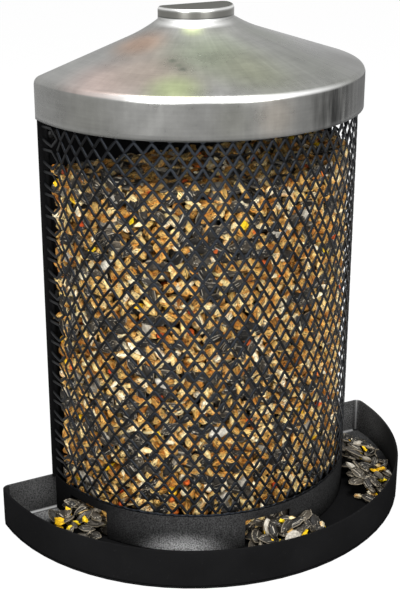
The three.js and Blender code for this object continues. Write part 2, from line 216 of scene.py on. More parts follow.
def new_mesh(name, points, *face_sets):
    """A mesh from an array of points and arrays of faces, each with its own count of corners."""
    corners = np.concatenate([faces.ravel() for faces in face_sets]).astype(np.int32)
    counts = np.concatenate([np.full(len(faces), faces.shape[1]) for faces in face_sets])
    starts = np.concatenate([[0], np.cumsum(counts)[:-1]]).astype(np.int32)
    mesh = bpy.data.meshes.new(name)
    mesh.vertices.add(len(points))
    mesh.vertices.foreach_set("co", np.asarray(points, np.float32).ravel())
    mesh.loops.add(len(corners))
    mesh.loops.foreach_set("vertex_index", corners)
    mesh.polygons.add(len(starts))
    mesh.polygons.foreach_set("loop_start", starts)
    mesh.update(calc_edges=True)
    return mesh


def welded(mesh):
    """Merges doubled points, so that seams and poles close, and turns the faces outwards."""
    work = bmesh.new()
    work.from_mesh(mesh)
    bmesh.ops.remove_doubles(work, verts=work.verts, dist=2 * TOUCH)
    bmesh.ops.dissolve_degenerate(work, dist=TOUCH, edges=work.edges)
    bmesh.ops.recalc_face_normals(work, faces=work.faces)
    work.to_mesh(mesh)
    work.free()
    return mesh


def swept(name, path, outward, section):
    """Carries a closed section along a level path. Each point is the path's point plus the
    section's first number times the path's outward direction, at the section's second number.
    The section may change along the path. Both ends are closed."""
    section = np.broadcast_to(section, (len(path),) + section.shape[-2:])
    level = path[:, None, :] + outward[:, None, :] * section[..., :1]
    points = np.concatenate([level, section[..., 1:]], -1)
    stations, around = points.shape[:2]
    ends = np.stack([np.arange(around)[::-1], (stations - 1) * around + np.arange(around)])
    sides = grid_faces(stations, around, close_columns=True)
    return welded(new_mesh(name, points.reshape(-1, 3), sides, ends))


def bar_section(inner, outer, bottom, top, rounding, steps=4):
    """A rectangle with quarter circles at its corners, as (out, height) pairs in order."""
    corner = np.linspace(0, np.pi / 2, steps + 1)
    centres = [(outer - rounding, top - rounding), (inner + rounding, top - rounding),
               (inner + rounding, bottom + rounding), (outer - rounding, bottom + rounding)]
    parts = [np.stack([x + rounding * np.cos(corner + k * np.pi / 2),
                       z + rounding * np.sin(corner + k * np.pi / 2)], -1)
             for k, (x, z) in enumerate(centres)]
    return np.concatenate(parts)


def round_path(turns, radius):
    """Points and outward directions of a circle about the hopper's axis. At turn t the direction
    is (sin t, -cos t), so that turn 0 faces the front."""
    outward = np.stack([np.sin(turns), -np.cos(turns)], -1)
    return outward * radius + [0, AXIS_Y], outward


def smooth_noise(points, seed, longest, waves=6):
    """The mean of some sines, scaled to about -1 to 1. Each is sin(2 pi p.d / l + f) at point p,
    with a random direction d, a length l from 0.35 of the longest up, and a random phase f."""
    rng = np.random.default_rng(seed)
    directions = rng.normal(size=(waves, points.shape[-1]))
    directions /= np.linalg.norm(directions, axis=-1, keepdims=True)
    lengths = longest * rng.uniform(0.35, 1.0, waves)
    phases = rng.uniform(0, 2 * np.pi, waves)
    gain = 1.7
    return np.sin(points @ (directions / lengths[:, None]).T * 2 * np.pi + phases).mean(-1) * gain


# Pieces


def placed(name, mesh, body, finish, replaced=(), sharp=35):
    """Adds a finished mesh as a piece: its material, its body and what it replaces."""
    old = bpy.data.objects.get(name)
    if old is not None and "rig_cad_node" not in old:
        bpy.data.objects.remove(old)
    obj = bpy.data.objects.new(name, mesh)
    bpy.context.scene.collection.objects.link(obj)
    mesh.materials.append(finish)
    mesh.shade_smooth()
    mesh.set_sharp_from_angle(angle=math.radians(sharp))
    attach(obj, body)
    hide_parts(*replaced)
    return obj


# Tray, band and plate


def tray_path(sizes, steps=96):
    """The tray's outline from the left rear corner round the front to the right one: a quarter
    circle, a short straight side, half an ellipse, and the same again mirrored."""
    half = TRAY_BOX[1].x
    corner = np.linspace(np.pi / 2, np.pi, 7)
    middle = np.array([half - sizes.corner, WALL_Y - sizes.corner])
    left = np.stack([np.cos(corner), np.sin(corner)], -1)
    left_points = left * sizes.corner + middle * [-1, 1]
    reach = WALL_Y - sizes.straight - TRAY_BOX[0].y
    angle = np.linspace(np.pi, 2 * np.pi, steps + 1)
    front_points = np.stack([half * np.cos(angle), reach * np.sin(angle)], -1)
    front_points += [0, WALL_Y - sizes.straight]
    front = np.stack([np.cos(angle) / half, np.sin(angle) / reach], -1)
    front /= np.linalg.norm(front, axis=-1, keepdims=True)
    path = np.concatenate([left_points, front_points, left_points[::-1] * [-1, 1]])
    outward = np.concatenate([left, front, left[::-1] * [-1, 1]])
    return path, outward


def tray_front_mesh(sizes):
    """A thin upright bar with a rounded rim, carried round the tray's outline."""
    path, outward = tray_path(sizes)
    section = bar_section(-sizes.sheet, 0, TRAY_BOX[0].z, TRAY_BOX[1].z, sizes.rim)
    return swept("tray_front_wall_sheet", path, outward, section)


def tray_back_mesh(sizes):
    """The straight rear wall: an upright bar whose inner foot runs out in a small hollow bend,
    a quarter circle seen from its open side."""
    lo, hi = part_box("tray_back_wall")
    bend, rim = 1.6 * MM, sizes.rim
    gap = 0.02 * MM  # between the foot and the floor
    inner, outer, foot = -sizes.sheet, 0.0, FLOOR_BOX[1].z + gap
    corner = np.linspace(0, np.pi / 2, 5)
    top = [np.stack([x + rim * np.cos(corner + k), hi.z - rim + rim * np.sin(corner + k)], -1)
           for x, k in ((outer - rim, 0.0), (inner + rim, np.pi / 2))]
    turns = np.linspace(0, np.pi / 2, 7)
    hollow = np.stack([inner - bend + bend * np.cos(turns), foot + bend - bend * np.sin(turns)], -1)
    section = np.concatenate([*top, hollow, [[outer, foot]]])
    path = np.array([[lo.x, WALL_Y], [hi.x, WALL_Y]])
    return swept("tray_back_wall_sheet", path, np.array([[0.0, 1.0]] * 2), section)


def band_mesh(sizes):
    """A bar carried round the hopper, whose lower edge is raised over the three ports. Over a
    port, the edge is the port's top less r - sqrt(r^2 - (r - d)^2) within r of a side, where r is
    the corner's radius and d the distance from that side."""
    lo, hi = BAND_BOX
    side_step = 1e-5  # turn over which the edge rises at a port's side
    clear_turn = 0.004  # even stations closer to a port's side than this are left out
    end = math.acos((AXIS_Y - hi.y) / sizes.radius)
    half = sizes.port_width / 2 / sizes.radius
    middles = np.array([-sizes.port_turn, 0.0, sizes.port_turn])
    inside = np.array([0, 0.03, 0.12, 0.3, 0.6, 1.0]) * sizes.port_corner / sizes.radius
    edge = np.concatenate([[-side_step], inside])
    marks = np.concatenate([middles[:, None] - half + edge, middles[:, None] + half - edge]).ravel()
    even = np.linspace(-end, end, ROUND_STATIONS)
    near = np.abs(even[:, None] - marks).min(-1) < clear_turn
    turns = np.sort(np.concatenate([even[~near | (np.abs(even) == end)], marks]))
    depth = (half - np.abs(turns[:, None] - middles)).max(-1) * sizes.radius
    rise = np.clip(sizes.port_corner - depth, 0, None)
    arch = np.sqrt(np.clip(sizes.port_corner ** 2 - rise ** 2, 0, None))
    arch = sizes.port_top - sizes.port_corner + arch
    beside_port = depth < -side_step * sizes.radius / 2
    bottom = np.where(beside_port, lo.z, arch)
    path, outward = round_path(turns, sizes.radius)
    section = bar_section(-sizes.band_sheet, 0, 0, hi.z, EDGE_ROUNDING)
    section = np.repeat(section[None], len(turns), 0)
    lower = section[0, :, 1] < hi.z / 2
    section[:, lower, 1] += bottom[:, None]
    return swept("base_band_sheet", path, outward, section)


def hoop_mesh():
    """A flat bar carried round the mesh's top edge."""
    lo, hi = HOOP_BOX
    outer = AXIS_Y - lo.y
    end = math.acos((AXIS_Y - hi.y) / outer)
    path, outward = round_path(np.linspace(-end, end, ROUND_STATIONS), outer)
    section = bar_section(-HOOP_SHEET, 0, lo.z, hi.z, EDGE_ROUNDING)
    return swept("mesh_top_hoop_sheet", path, outward, section)


# Mesh


SINE_45 = math.sqrt(0.5)
STRAND_TWIST = 0.08  # how far one edge of a strand stands out, over its half width
STRAND_PARTS = np.array([0.0, 0.12, 0.34, 0.66, 0.88])  # places along a strand between two joints
STRAND_RISES = np.array([0.10, 0.155, 0.345, 0.655, 0.845])  # its height there, between two rows
EDGE_CLEARANCE = 0.05 * MM  # from a strand's middle line to the sheet's upper and lower edge
CLIP_SPREAD = 0.04 * MM  # keeps the points of a clipped strand apart
JOINT_SLIP = 0.12 * MM  # how far a joint strays from its place
LOOP_REACH = 0.10  # how far a loop runs past its joint, over the column step
LOOP_TAIL = np.array([1.0, 0.75, 0.5, 0.25, 0.06])  # a loop's points along the flange
LOOP_TURNS = np.array([0.05, 0.15, 0.37, 0.66, 0.90])  # its points from elbow to joint
LOOP_RISES = np.array([0.03, 0.14, 0.36, 0.64, 0.86])  # how near these are to the joint's height


def column_turn(place, radius, stretch):
    """The turn of a column of joints. Up to 45 degrees its sine is the column's place over the
    radius, so that the steps look even from the front. Beyond, its cosine falls by a stretched
    step, so that they look even from the side."""
    along = place / radius
    front = np.arcsin(np.clip(along, -1, 1))
    beyond = SINE_45 + (np.abs(along) - SINE_45) * stretch
    side = np.sign(along) * np.arccos(np.clip(2 * SINE_45 - beyond, -1, 1))
    return np.where(np.abs(along) <= SINE_45, front, side)


def strand_points(turns, heights, radius, width, depth):
    """Six-sided strands. A strand's middle line is given by turns and heights, one row for each
    strand. Its section lies across the line within the sheet, and is turned a little about it."""
    along = np.stack([turns * radius, heights], -1)
    ahead = np.gradient(along, axis=1)
    ahead /= np.linalg.norm(ahead, axis=-1, keepdims=True)
    side = np.stack([ahead[..., 1], -ahead[..., 0]], -1)
    angle = np.arange(6) * np.pi / 3 + np.pi / 6
    across = np.cos(angle) * width / 2 / math.cos(math.pi / 6)
    through = np.sin(angle) * depth / 2
    sloping = ahead[..., 1:] != 0  # a level stretch isn't turned
    lean = through + across * STRAND_TWIST * sloping
    spread = along[:, :, None, :] + side[:, :, None, :] * across[None, None, :, None]
    around = spread[..., 0] / radius
    out = radius - depth / 2 + lean
    return np.stack([out * np.sin(around), AXIS_Y - out * np.cos(around), spread[..., 1]], -1)


def mesh_sheet(sizes, radius):
    """The expanded sheet as zigzag strands that run across it. Each lies between two neighbouring
    rows of joints and touches the next strand at every second one. Joints stand where a column's
    number plus a row's is odd. At the sides, loops run from one elbow round a joint of the last
    column to the next elbow, and back along the flange."""
    rng = np.random.default_rng(RNG_SEED)
    low, high = MESH_BOX[0].z, MESH_BOX[1].z
    level_step = sizes.row_pitch / 2
    first = math.floor((low - sizes.first_row) / level_step)
    last = math.ceil((high - sizes.first_row) / level_step)
    levels = np.arange(first, last + 1)
    beyond = (SINE_45 - math.cos(sizes.elbow_turn)) / sizes.side_stretch
    edge = radius * (SINE_45 + beyond)
    least = round((-edge - sizes.first_column) / sizes.column_step)
    most = round((edge - sizes.first_column) / sizes.column_step)
    columns = np.arange(least + 1, most)
    slip = rng.normal(scale=JOINT_SLIP, size=(len(columns), len(levels), 2))
    strands = np.arange(len(levels) - 1)[:, None]
    nodes = np.arange(len(columns))[None, :]
    upper = (levels[strands] + 1 - columns[nodes]) % 2 == 1
    at = np.where(upper, 1.0, 0.0)
    here = slip[nodes, strands + upper]
    there = np.roll(here, -1, axis=1)
    rise = at[..., None] + (1 - 2 * at[..., None]) * STRAND_RISES
    place = (columns[nodes][..., None] + STRAND_PARTS) * sizes.column_step + sizes.first_column
    height = (levels[strands][..., None] + rise) * level_step + sizes.first_row
    mix = STRAND_PARTS[None, None, :]
    place = place + here[..., :1] * (1 - mix) + there[..., :1] * mix
    height = height + here[..., 1:] * (1 - mix) + there[..., 1:] * mix
    stations = (len(columns) - 1) * len(STRAND_PARTS) + 1
    place, height = [grid.reshape(len(strands), -1)[:, :stations] for grid in (place, height)]
    height = np.clip(height, low + EDGE_CLEARANCE, high - EDGE_CLEARANCE)
    turns = column_turn(place, radius, sizes.side_stretch)
    blocks = [strand_points(turns, height, radius, sizes.strand_width, sizes.strand_depth)]
    blocks.append(flange_loops(sizes, radius, -1, columns[0]))
    blocks.append(flange_loops(sizes, radius, 1, columns[-1]))
    points, faces, ends, start = [], [], [], 0
    for block in blocks:
        count, stations, around = block.shape[:3]
        quads = grid_faces(stations, around, close_columns=True)
        caps = np.stack([np.arange(around)[::-1], (stations - 1) * around + np.arange(around)])
        stride = stations * around
        points.append(block.reshape(-1, 3))
        faces.append(repeat_faces(quads, count, stride) + start)
        ends.append(repeat_faces(caps, count, stride) + start)
        start += count * stride
    points, faces, ends = [np.concatenate(parts) for parts in (points, faces, ends)]
    return new_mesh("expanded_sheet", points, faces, ends)


def flange_loops(sizes, radius, side, column):
    """Strands that come up the flange to an elbow, round a joint and back from the next elbow.
    From elbow to joint they follow half a diamond, and along the flange a line that rises or drops."""
    low, high = MESH_BOX[0].z, MESH_BOX[1].z
    joint_place = np.array(column * sizes.column_step + sizes.first_column)
    joint = column_turn(joint_place, radius, sizes.side_stretch)
    elbow, end = side * sizes.elbow_turn, side * sizes.end_turn
    reach = joint - side * LOOP_REACH * sizes.column_step / radius
    parity = column % 2
    rows = np.arange(math.ceil((low - sizes.first_row) / sizes.row_pitch - 0.5 * parity),
                     math.floor((high - sizes.first_row) / sizes.row_pitch - 0.5 * parity) + 1)
    middle = (rows + 0.5 * parity)[:, None] * sizes.row_pitch + sizes.first_row
    half = (sizes.row_pitch - sizes.elbow_gap) / 2
    along_flange, to_joint = (end - elbow) * LOOP_TAIL, (reach - elbow) * LOOP_TURNS
    lower_turn = elbow + np.concatenate([along_flange, to_joint])
    turns = np.concatenate([lower_turn, [reach], lower_turn[::-1]])
    lower = np.concatenate([-half + sizes.flange_rise * LOOP_TAIL, -half * (1 - LOOP_RISES)])
    upper = np.concatenate([half - sizes.flange_drop * LOOP_TAIL, half * (1 - LOOP_RISES)])
    height = middle + np.concatenate([lower, [0.0], upper[::-1]])
    height = np.clip(height, low + EDGE_CLEARANCE, high - EDGE_CLEARANCE)
    height += np.linspace(-CLIP_SPREAD, CLIP_SPREAD, height.shape[1])
    turns = np.repeat(turns[None], len(rows), 0)
    return strand_points(turns, height, radius, sizes.strand_width, sizes.strand_depth)


# Lid


def lid_profile(sizes):
    """The lid's outer line from the skirt's foot to the middle, as (radius, height) pairs: an
    upright line, an arc, a slope, a quadratic curve up to the collar, the collar's arc and the flat
    top. The curve is (1-t)^2 a + 2 t (1-t) b + t^2 c. Also gives where the flat top starts."""
    foot = LID_BOX[0].z
    base = foot + sizes.skirt
    shoulder = sizes.radius - sizes.shoulder
    arc = np.linspace(0, np.pi / 2 - sizes.pitch, 9)
    fold = np.stack([shoulder + sizes.shoulder * np.cos(arc), base + sizes.shoulder * np.sin(arc)], -1)
    slope = math.tan(sizes.pitch)
    flare_foot = sizes.collar + sizes.flare
    bend = sizes.collar + sizes.flare * sizes.flare_bend
    level = fold[-1, 1] + (fold[-1, 0] - np.array([flare_foot, bend])) * slope
    top = LID_BOX[1].z
    flare_top = top - sizes.collar_height
    t = np.linspace(0, 1, 17)[:, None]
    flare = ((1 - t) ** 2 * [flare_foot, level[0]] + 2 * t * (1 - t) * [bend, level[1]]
             + t ** 2 * [sizes.collar, flare_top])
    cone = np.linspace(fold[-1], flare[0], 26)[1:-1]
    edge = np.linspace(0, np.pi / 2, 9)
    middle = sizes.collar - sizes.collar_edge
    rim = np.stack([middle + sizes.collar_edge * np.cos(edge),
                    top - sizes.collar_edge + sizes.collar_edge * np.sin(edge)], -1)
    skirt = np.linspace([sizes.radius, foot], [sizes.radius, base], 7)[:-1]
    cap = np.linspace([middle, top], [0, top], 9)[1:]
    outline = np.concatenate([skirt, fold, cone, flare, rim])
    return np.concatenate([outline, cap]), len(outline)


def lid_ring(radii, sizes, rear, steps=96):
    """Half an ellipse for each radius, with a quarter circle at each rear corner. The corner
    is as round as the sizes say, or less where the ring is small."""
    corner = np.minimum(sizes.back_corner, radii * 0.3)[:, None]
    across = np.linspace(0, np.pi, steps + 1)[None, :]
    middle = rear - corner
    deep = radii[:, None] - AXIS_Y + middle
    front = np.stack([-radii[:, None] * np.cos(across), middle - deep * np.sin(across)], -1)
    quarter = np.linspace(np.pi / 2, np.pi, 7)[None, :-1]
    left = np.stack([-(radii[:, None] - corner) + corner * np.cos(quarter),
                     middle + corner * np.sin(quarter)], -1)
    right = left[:, ::-1] * [-1, 1]
    return np.concatenate([left, front, right], 1)


def lid_mesh(sizes):
    """Rings of the lid's half round stacked up its profile. The sheet's thickness is added inwards."""
    profile, _ = lid_profile(sizes)
    wall_gap = 0.15 * MM
    rear = WALL_Y - wall_gap
    rings = lid_ring(profile[:, 0], sizes, rear)
    heights = np.broadcast_to(profile[:, None, 1:], rings.shape[:2] + (1,))
    points = np.concatenate([rings, heights], -1)
    faces = grid_faces(*points.shape[:2])
    return welded(new_mesh("lid_shell_sheet", points.reshape(-1, 3), faces))


def lid_back_mesh(sizes):
    """A flat panel inside the shell's rolled edges: the lid's outer line and its mirror image,
    drawn in a little, with even columns between them."""
    profile, top_start = lid_profile(sizes)
    radii, heights = profile[:top_start].T
    inset, drop = 1.6 * MM, 0.9 * MM  # in from the shell's side and down from its slope
    set_back = 0.85 * MM  # from the wall
    heights = heights - drop * np.clip((sizes.radius - radii) / drop, 0, 1)
    across = (radii - inset)[:, None] * np.linspace(-1, 1, 9)
    points = np.stack([across, np.full_like(across, WALL_Y - set_back),
                       np.broadcast_to(heights[:, None], across.shape)], -1)
    return new_mesh("lid_back_sheet", points.reshape(-1, 3), grid_faces(*across.shape))


# Seed


def seed_form(rings, around, widths):
    """A closed grain one unit long on X: rings about X with the given half widths, and a point at
    each end. The rings stand at sign(a) |a|^0.8 0.5^0.2 for even steps a from -0.5 to 0.5, a little
    nearer to the ends. Gives points and faces that look outwards."""
    turns = np.arange(around) * 2 * np.pi / around
    along = (np.arange(rings) + 1) / (rings + 1) - 0.5
    along = np.sign(along) * np.abs(along) ** 0.8 * 0.5 ** 0.2
    loop = np.stack([np.repeat(along, around), np.outer(widths, np.cos(turns)).ravel(),
                     np.outer(widths, np.sin(turns)).ravel()], -1)
    points = np.concatenate([loop, [[-0.5, 0, 0], [0.5, 0, 0]]])
    quads = grid_faces(rings, around, close_columns=True)
    sides = np.concatenate([quads[:, [0, 1, 2]], quads[:, [0, 2, 3]]])[:, ::-1]
    ring = np.arange(around)
    after = (ring + 1) % around
    tail = np.stack([np.full(around, rings * around), after, ring], -1)
    last = (rings - 1) * around
    nose = np.stack([np.full(around, rings * around + 1), last + ring, last + after], -1)
    faces = np.concatenate([sides, tail, nose])
    a, b, c = points[faces[:, 0]], points[faces[:, 1]], points[faces[:, 2]]
    if (a * np.cross(b, c)).sum() < 0:
        faces = faces[:, ::-1]
    return points, faces


def turned_bases(normals, angles, leans, rng):
    """A frame for each seed: its length lies in the surface at an angle, its thickness follows the
    surface's normal, and both lean by a random amount."""
    unlevel = 0.01  # so that a seed on level ground finds a direction too
    up = np.array([0.0, 0.0, 1.0]) + unlevel * rng.normal(size=normals.shape)
    first = np.cross(up, normals)
    first /= np.linalg.norm(first, axis=-1, keepdims=True)
    second = np.cross(normals, first)
    length = np.cos(angles)[:, None] * first + np.sin(angles)[:, None] * second
    thick = normals + leans[:, None] * rng.normal(size=normals.shape)
    length = length + leans[:, None] * rng.normal(size=normals.shape)
    length /= np.linalg.norm(length, axis=-1, keepdims=True)
    width = np.cross(thick, length)
    width /= np.linalg.norm(width, axis=-1, keepdims=True)
    return np.stack([length, width, np.cross(length, width)], -1)


class SeedKind:
    """A kind of seed: its form, its size and how much one differs from the next."""

    def __init__(self, name, form, length, width, thick, rough, lean, finish, sharp):
        self.name, self.form, self.rough, self.lean = name, form, rough, lean
        self.size = np.array([length, width, thick]) * MM
        self.finish, self.sharp = finish, sharp


KINDS = [  # name, form, length, width and thickness in mm, roughness, lean, finish, sharp angle
    SeedKind("cracked_grain", seed_form(3, 6, [0.38, 0.50, 0.40]), 7.4, 4.8, 3.8, 0.10, 0.6,
             "Cracked grain", 38),
    SeedKind("sunflower", seed_form(4, 8, [0.30, 0.47, 0.46, 0.27]), 11.8, 5.9, 3.8, 0.02, 0.26,
             "Sunflower husk", 60),
    SeedKind("oat", seed_form(3, 6, [0.34, 0.5, 0.32]), 8.6, 3.5, 2.8, 0.05, 0.4, "Oat husk", 60),
    SeedKind("maize", seed_form(2, 5, [0.40, 0.5]), 6.2, 4.6, 2.4, 0.18, 0.6, "Maize", 30),
    SeedKind("milo", seed_form(3, 6, [0.40, 0.5, 0.40]), 3.9, 3.8, 3.7, 0.03, 1.0, "Milo", 80),
]
HOPPER_MIX = np.array([0.63, 0.25, 0.09, 0.010, 0.020])  # share of each kind, in the same order
PILE_MIX = np.array([0.07, 0.75, 0.04, 0.13, 0.01])
PILES = [  # name, side, middle (out, aside) and reach (out, aside) in mm, limits aside in mm
    ("left", -1, (0, -3, 17, 18), (-21, 13.4)),
    ("front", 0, (-1, 9, 17, 25), (-13.4, 35)),
    ("right", 1, (6, -10, 19, 37), (-47, 26)),
]
ROW_STEP = 0.866  # between the rows of a hexagon pattern, over the step along a row
FILL_JITTER, TOP_JITTER, PILE_JITTER = 0.24, 0.25, 0.3  # how far a seed strays, over the step
FILL_ARC, FILL_END = math.radians(176), math.radians(87)  # the rows' whole turn, the last seed's
LAYER_GAP = 3.4 * MM  # between the two layers behind the mesh
LAYER_DEPTH = 1.5 * MM  # how far a seed may lie behind its layer
LAYER_TONES, DEPTH_SHADE = (1.22, 0.55), 0.36  # painted brightness of each layer, the outer one lit, and the painted shade added with depth
TOP_LAYER, TOP_TONE = 3 * MM, 0.42  # between the layers under the lid, and their painted shade, as the lid shades them
PRESS_START, PRESS_SPAN = math.radians(64), math.radians(16)
PRESS = 1 * MM  # the seeds bulge out by this at the left side and sink by it at the right
PORT_HALF = 15 * MM  # seeds below the mesh lie this close to a port's middle
REAR_GAP = 4.3 * MM  # from the seeds' middles to the plate's rear face
PILE_STEP, PILE_LAYER = 5.4 * MM, 3.1 * MM
PILE_CRUST = 6.5 * MM  # how deep a pile is filled
PORT_ROOM = 11 * MM  # half width and height of a pile inside a port
SIZE_SPREAD, TURN_SPREAD = 0.13, 0.8  # how much the seeds' sizes and turns vary


def joined(blocks):
    """Blocks of places, normals and dimness, each put together into one array."""
    return [np.concatenate(parts) for parts in zip(*blocks)]


def side_places(sizes, radius, port_turn, rng):
    """Places, normals and dimness of the seeds behind the mesh and in the ports: two layers of a
    jittered hexagon pattern on the half cylinder. Towards the sides they shift by the press times
    p^2 (3 - 2p), where p grows from 0 to 1 over the press's span."""
    low, high = FILL_BOX[0].z + 1 * MM, FILL_BOX[1].z
    step = sizes.spacing
    blocks = []
    for layer, reach in enumerate((sizes.outer_radius, sizes.outer_radius - LAYER_GAP)):
        rows = np.arange(int((high - low) / (step * ROW_STEP)))
        count = int(FILL_ARC * reach / step)
        s, z = np.meshgrid(np.arange(count) - (count - 1) / 2, rows)
        s = (s + 0.5 * (rows[:, None] % 2)) * step
        z = low + 2 * MM + z * step * ROW_STEP
        s, z = s.ravel() + rng.normal(scale=FILL_JITTER, size=s.size) * step, z.ravel()
        z = z + rng.normal(scale=FILL_JITTER, size=z.size) * step
        turns = s / reach
        depth = rng.uniform(0, LAYER_DEPTH, s.size)
        from_port = np.abs(np.abs(turns)[:, None] - [0, port_turn]).min(-1) * radius
        keep = (z > BAND_BOX[1].z - 3 * MM) | (from_port < PORT_HALF)
        keep &= (np.abs(turns) < FILL_END) & (z < high - 4 * MM)
        press = np.clip((np.abs(turns) - PRESS_START) / PRESS_SPAN, 0, 1)
        out = (reach - depth - np.sign(turns) * PRESS * press * press * (3 - 2 * press))[:, None]
        normal = np.stack([np.sin(turns), -np.cos(turns), 0 * turns], -1)
        place = normal * out + [0, AXIS_Y, 0]
        place[:, 1] = np.minimum(place[:, 1], AXIS_Y - REAR_GAP)
        place[:, 2] = z
        # painted light and shade: the outer layer brighter, the inner layer and deeper seeds darker
        tone = LAYER_TONES[layer] - DEPTH_SHADE * depth[keep] / LAYER_DEPTH
        blocks.append((place[keep], normal[keep], tone))
    return joined(blocks)


def top_places(sizes, radius, rng):
    """Places, normals and dimness of the seeds under the lid: two layers of a jittered hexagon
    pattern on a half disc, raised and lowered by a slow noise."""
    high, step = FILL_BOX[1].z, sizes.spacing
    blocks = []
    for layer in range(2):
        span = np.arange(-math.ceil(radius / step), math.ceil(radius / step) + 1)
        x, y = np.meshgrid(span, span)
        x, y = ((x + 0.5 * (y % 2)) * step).ravel(), (y * step * ROW_STEP).ravel()
        x = x + rng.normal(scale=TOP_JITTER, size=x.size) * step
        y = y + rng.normal(scale=TOP_JITTER, size=y.size) * step
        keep = (np.hypot(x, y) < sizes.outer_radius - 2 * MM) & (y < -3 * MM)
        x, y = x[keep], y[keep]
        mound = 1.25 * MM * smooth_noise(np.stack([x, y], -1), 5, longest=0.09)
        z = high - 3.2 * MM - layer * TOP_LAYER + mound + rng.uniform(-1.2 * MM, 0.4 * MM, x.size)
        normal = np.tile([0.0, 0.0, 1.0], (x.size, 1))
        # painted shade on the seeds under the lid
        blocks.append((np.stack([x, y + AXIS_Y, z], -1), normal, np.full(x.size, TOP_TONE)))
    return joined(blocks)


def hopper_places(sizes, radius, port_turn):
    """Places, normals and dimness of all the seeds in the hopper."""
    rng = np.random.default_rng(RNG_SEED + 1)
    behind_mesh = side_places(sizes, radius, port_turn, rng)
    return joined([behind_mesh, top_places(sizes, radius, rng)])


def pile_places(sizes, radius, turn_angle, heap, limits, seed):
    """Places, normals and dimness of a pile's seeds: layers of a jittered grid, kept where they
    lie under a lumpy heap. Its height goes with (1 - u^2 - v^2)^0.8, where u and v are the
    distances out and aside from its middle over its reach. In the port it is narrow and low."""
    rng = np.random.default_rng(RNG_SEED + seed)
    middle_out, middle_aside, reach_out, reach_aside = np.array(heap) * MM
    first, last = limits[0] * MM, limits[1] * MM
    jitter = PILE_JITTER * PILE_STEP
    layers = []
    for level in np.arange(0.0, sizes.pile_height, PILE_LAYER):
        u, v = np.meshgrid(np.arange(-4 * MM, middle_out + reach_out, PILE_STEP),
                           np.arange(first, last, PILE_STEP))
        u = (u + rng.normal(scale=jitter, size=u.shape)).ravel()
        v = (v + rng.normal(scale=jitter, size=v.shape)).ravel()
        lump = 1 + 0.25 * smooth_noise(np.stack([u, v], -1), seed + 40, longest=0.03)
        fall = 1 - ((u - middle_out) / reach_out) ** 2 - ((v - middle_aside) / reach_aside) ** 2
        height = sizes.pile_height * np.clip(fall, 0, None) ** 0.8 * lump
        keep = (height > level) & (height - level < PILE_CRUST) & (v > first) & (v < last)
        keep &= (u > 1 * MM) | ((np.abs(v) < PORT_ROOM) & (level < PORT_ROOM))
        layers.append(np.stack([u, v, np.full(u.size, level)], -1)[keep])
    local = np.concatenate(layers)
    outward = np.array([math.sin(turn_angle), -math.cos(turn_angle), 0])
    aside = np.array([math.cos(turn_angle), math.sin(turn_angle), 0])
    place = (radius + local[:, :1]) * outward + local[:, 1:2] * aside + [0, AXIS_Y, 0]
    place[:, 2] = FLOOR_BOX[1].z + 1.5 * MM + local[:, 2]
    # the last share paints the piles' seeds darker
    outward_lean, random_lean, tone = 0.35, 0.22, 0.75
    normal = np.tile([0.0, 0.0, 1.0], (len(local), 1)) + outward_lean * outward
    normal = normal + random_lean * rng.normal(size=(len(local), 3))
    normal /= np.linalg.norm(normal, axis=-1, keepdims=True)
    return place, normal, np.full(len(place), tone)


def seed_mesh(name, kind, places, normals, painted_shades, rng):
    """One mesh of many seeds of a kind. Each point is the seed's form, stretched by the seed's
    size, roughened, turned by the seed's frame and moved to its place, clear of floor and plate.
    Its attributes are a random tone for each seed, its painted shade, and the place along and across
    the husk, which is shifted from seed to seed."""
    floor_gap, plate_gap = 0.1 * MM, 1.4 * MM
    points, faces = kind.form
    count = len(places)
    spread = kind.size * (1 + SIZE_SPREAD * rng.normal(size=(count, 3)).clip(-2, 2))
    angles = rng.normal(scale=TURN_SPREAD, size=count) + np.pi * rng.integers(0, 2, count)
    bases = turned_bases(normals, angles, np.full(count, kind.lean), rng)
    local = points[None] * spread[:, None, :]
    local = local * (1 + kind.rough * rng.normal(size=(count, len(points), 1)).clip(-2, 2))
    world = np.einsum("nij,nvj->nvi", bases, local) + places[:, None, :]
    sunk = FLOOR_BOX[1].z + floor_gap - world[..., 2].min(-1)
    world[..., 2] += np.clip(sunk, 0, None)[:, None]
    behind = world[..., 1].max(-1) - (PLATE_FRONT - plate_gap)
    world[..., 1] -= np.clip(behind, 0, None)[:, None]
    mesh = new_mesh(name, world.reshape(-1, 3), repeat_faces(faces, count, len(points)))
    tone = np.repeat(rng.random(count), len(points)).astype(np.float32)
    mesh.attributes.new("tone", "FLOAT", "POINT").data.foreach_set("value", tone)
    painted_shade = np.repeat(painted_shades, len(points)).astype(np.float32)
    mesh.attributes.new("painted_shade", "FLOAT", "POINT").data.foreach_set("value", painted_shade)
    lengthwise = np.tile(points, (count, 1)).astype(np.float32)
    lengthwise[:, 0] += np.repeat(rng.integers(0, 90, count), len(points))
    mesh.attributes.new("husk", "FLOAT_VECTOR", "POINT").data.foreach_set("vector", lengthwise.ravel())
    return mesh


def seed_kinds(places, mix, seed):
    """Which kind each place holds: a weighted draw, with more sunflower where a slow noise is high."""
    rng = np.random.default_rng(RNG_SEED + seed)
    weights = np.tile(mix, (len(places), 1))
    cluster = smooth_noise(places, seed, longest=0.06)
    cluster_gain, least = 0.9, 0.15
    weights[:, 1] *= np.clip(1 + cluster_gain * cluster, least, None)
    weights /= weights.sum(-1, keepdims=True)
    drawn = rng.random(len(places))[:, None] > np.cumsum(weights, -1)
    return drawn.sum(-1).clip(0, len(mix) - 1)


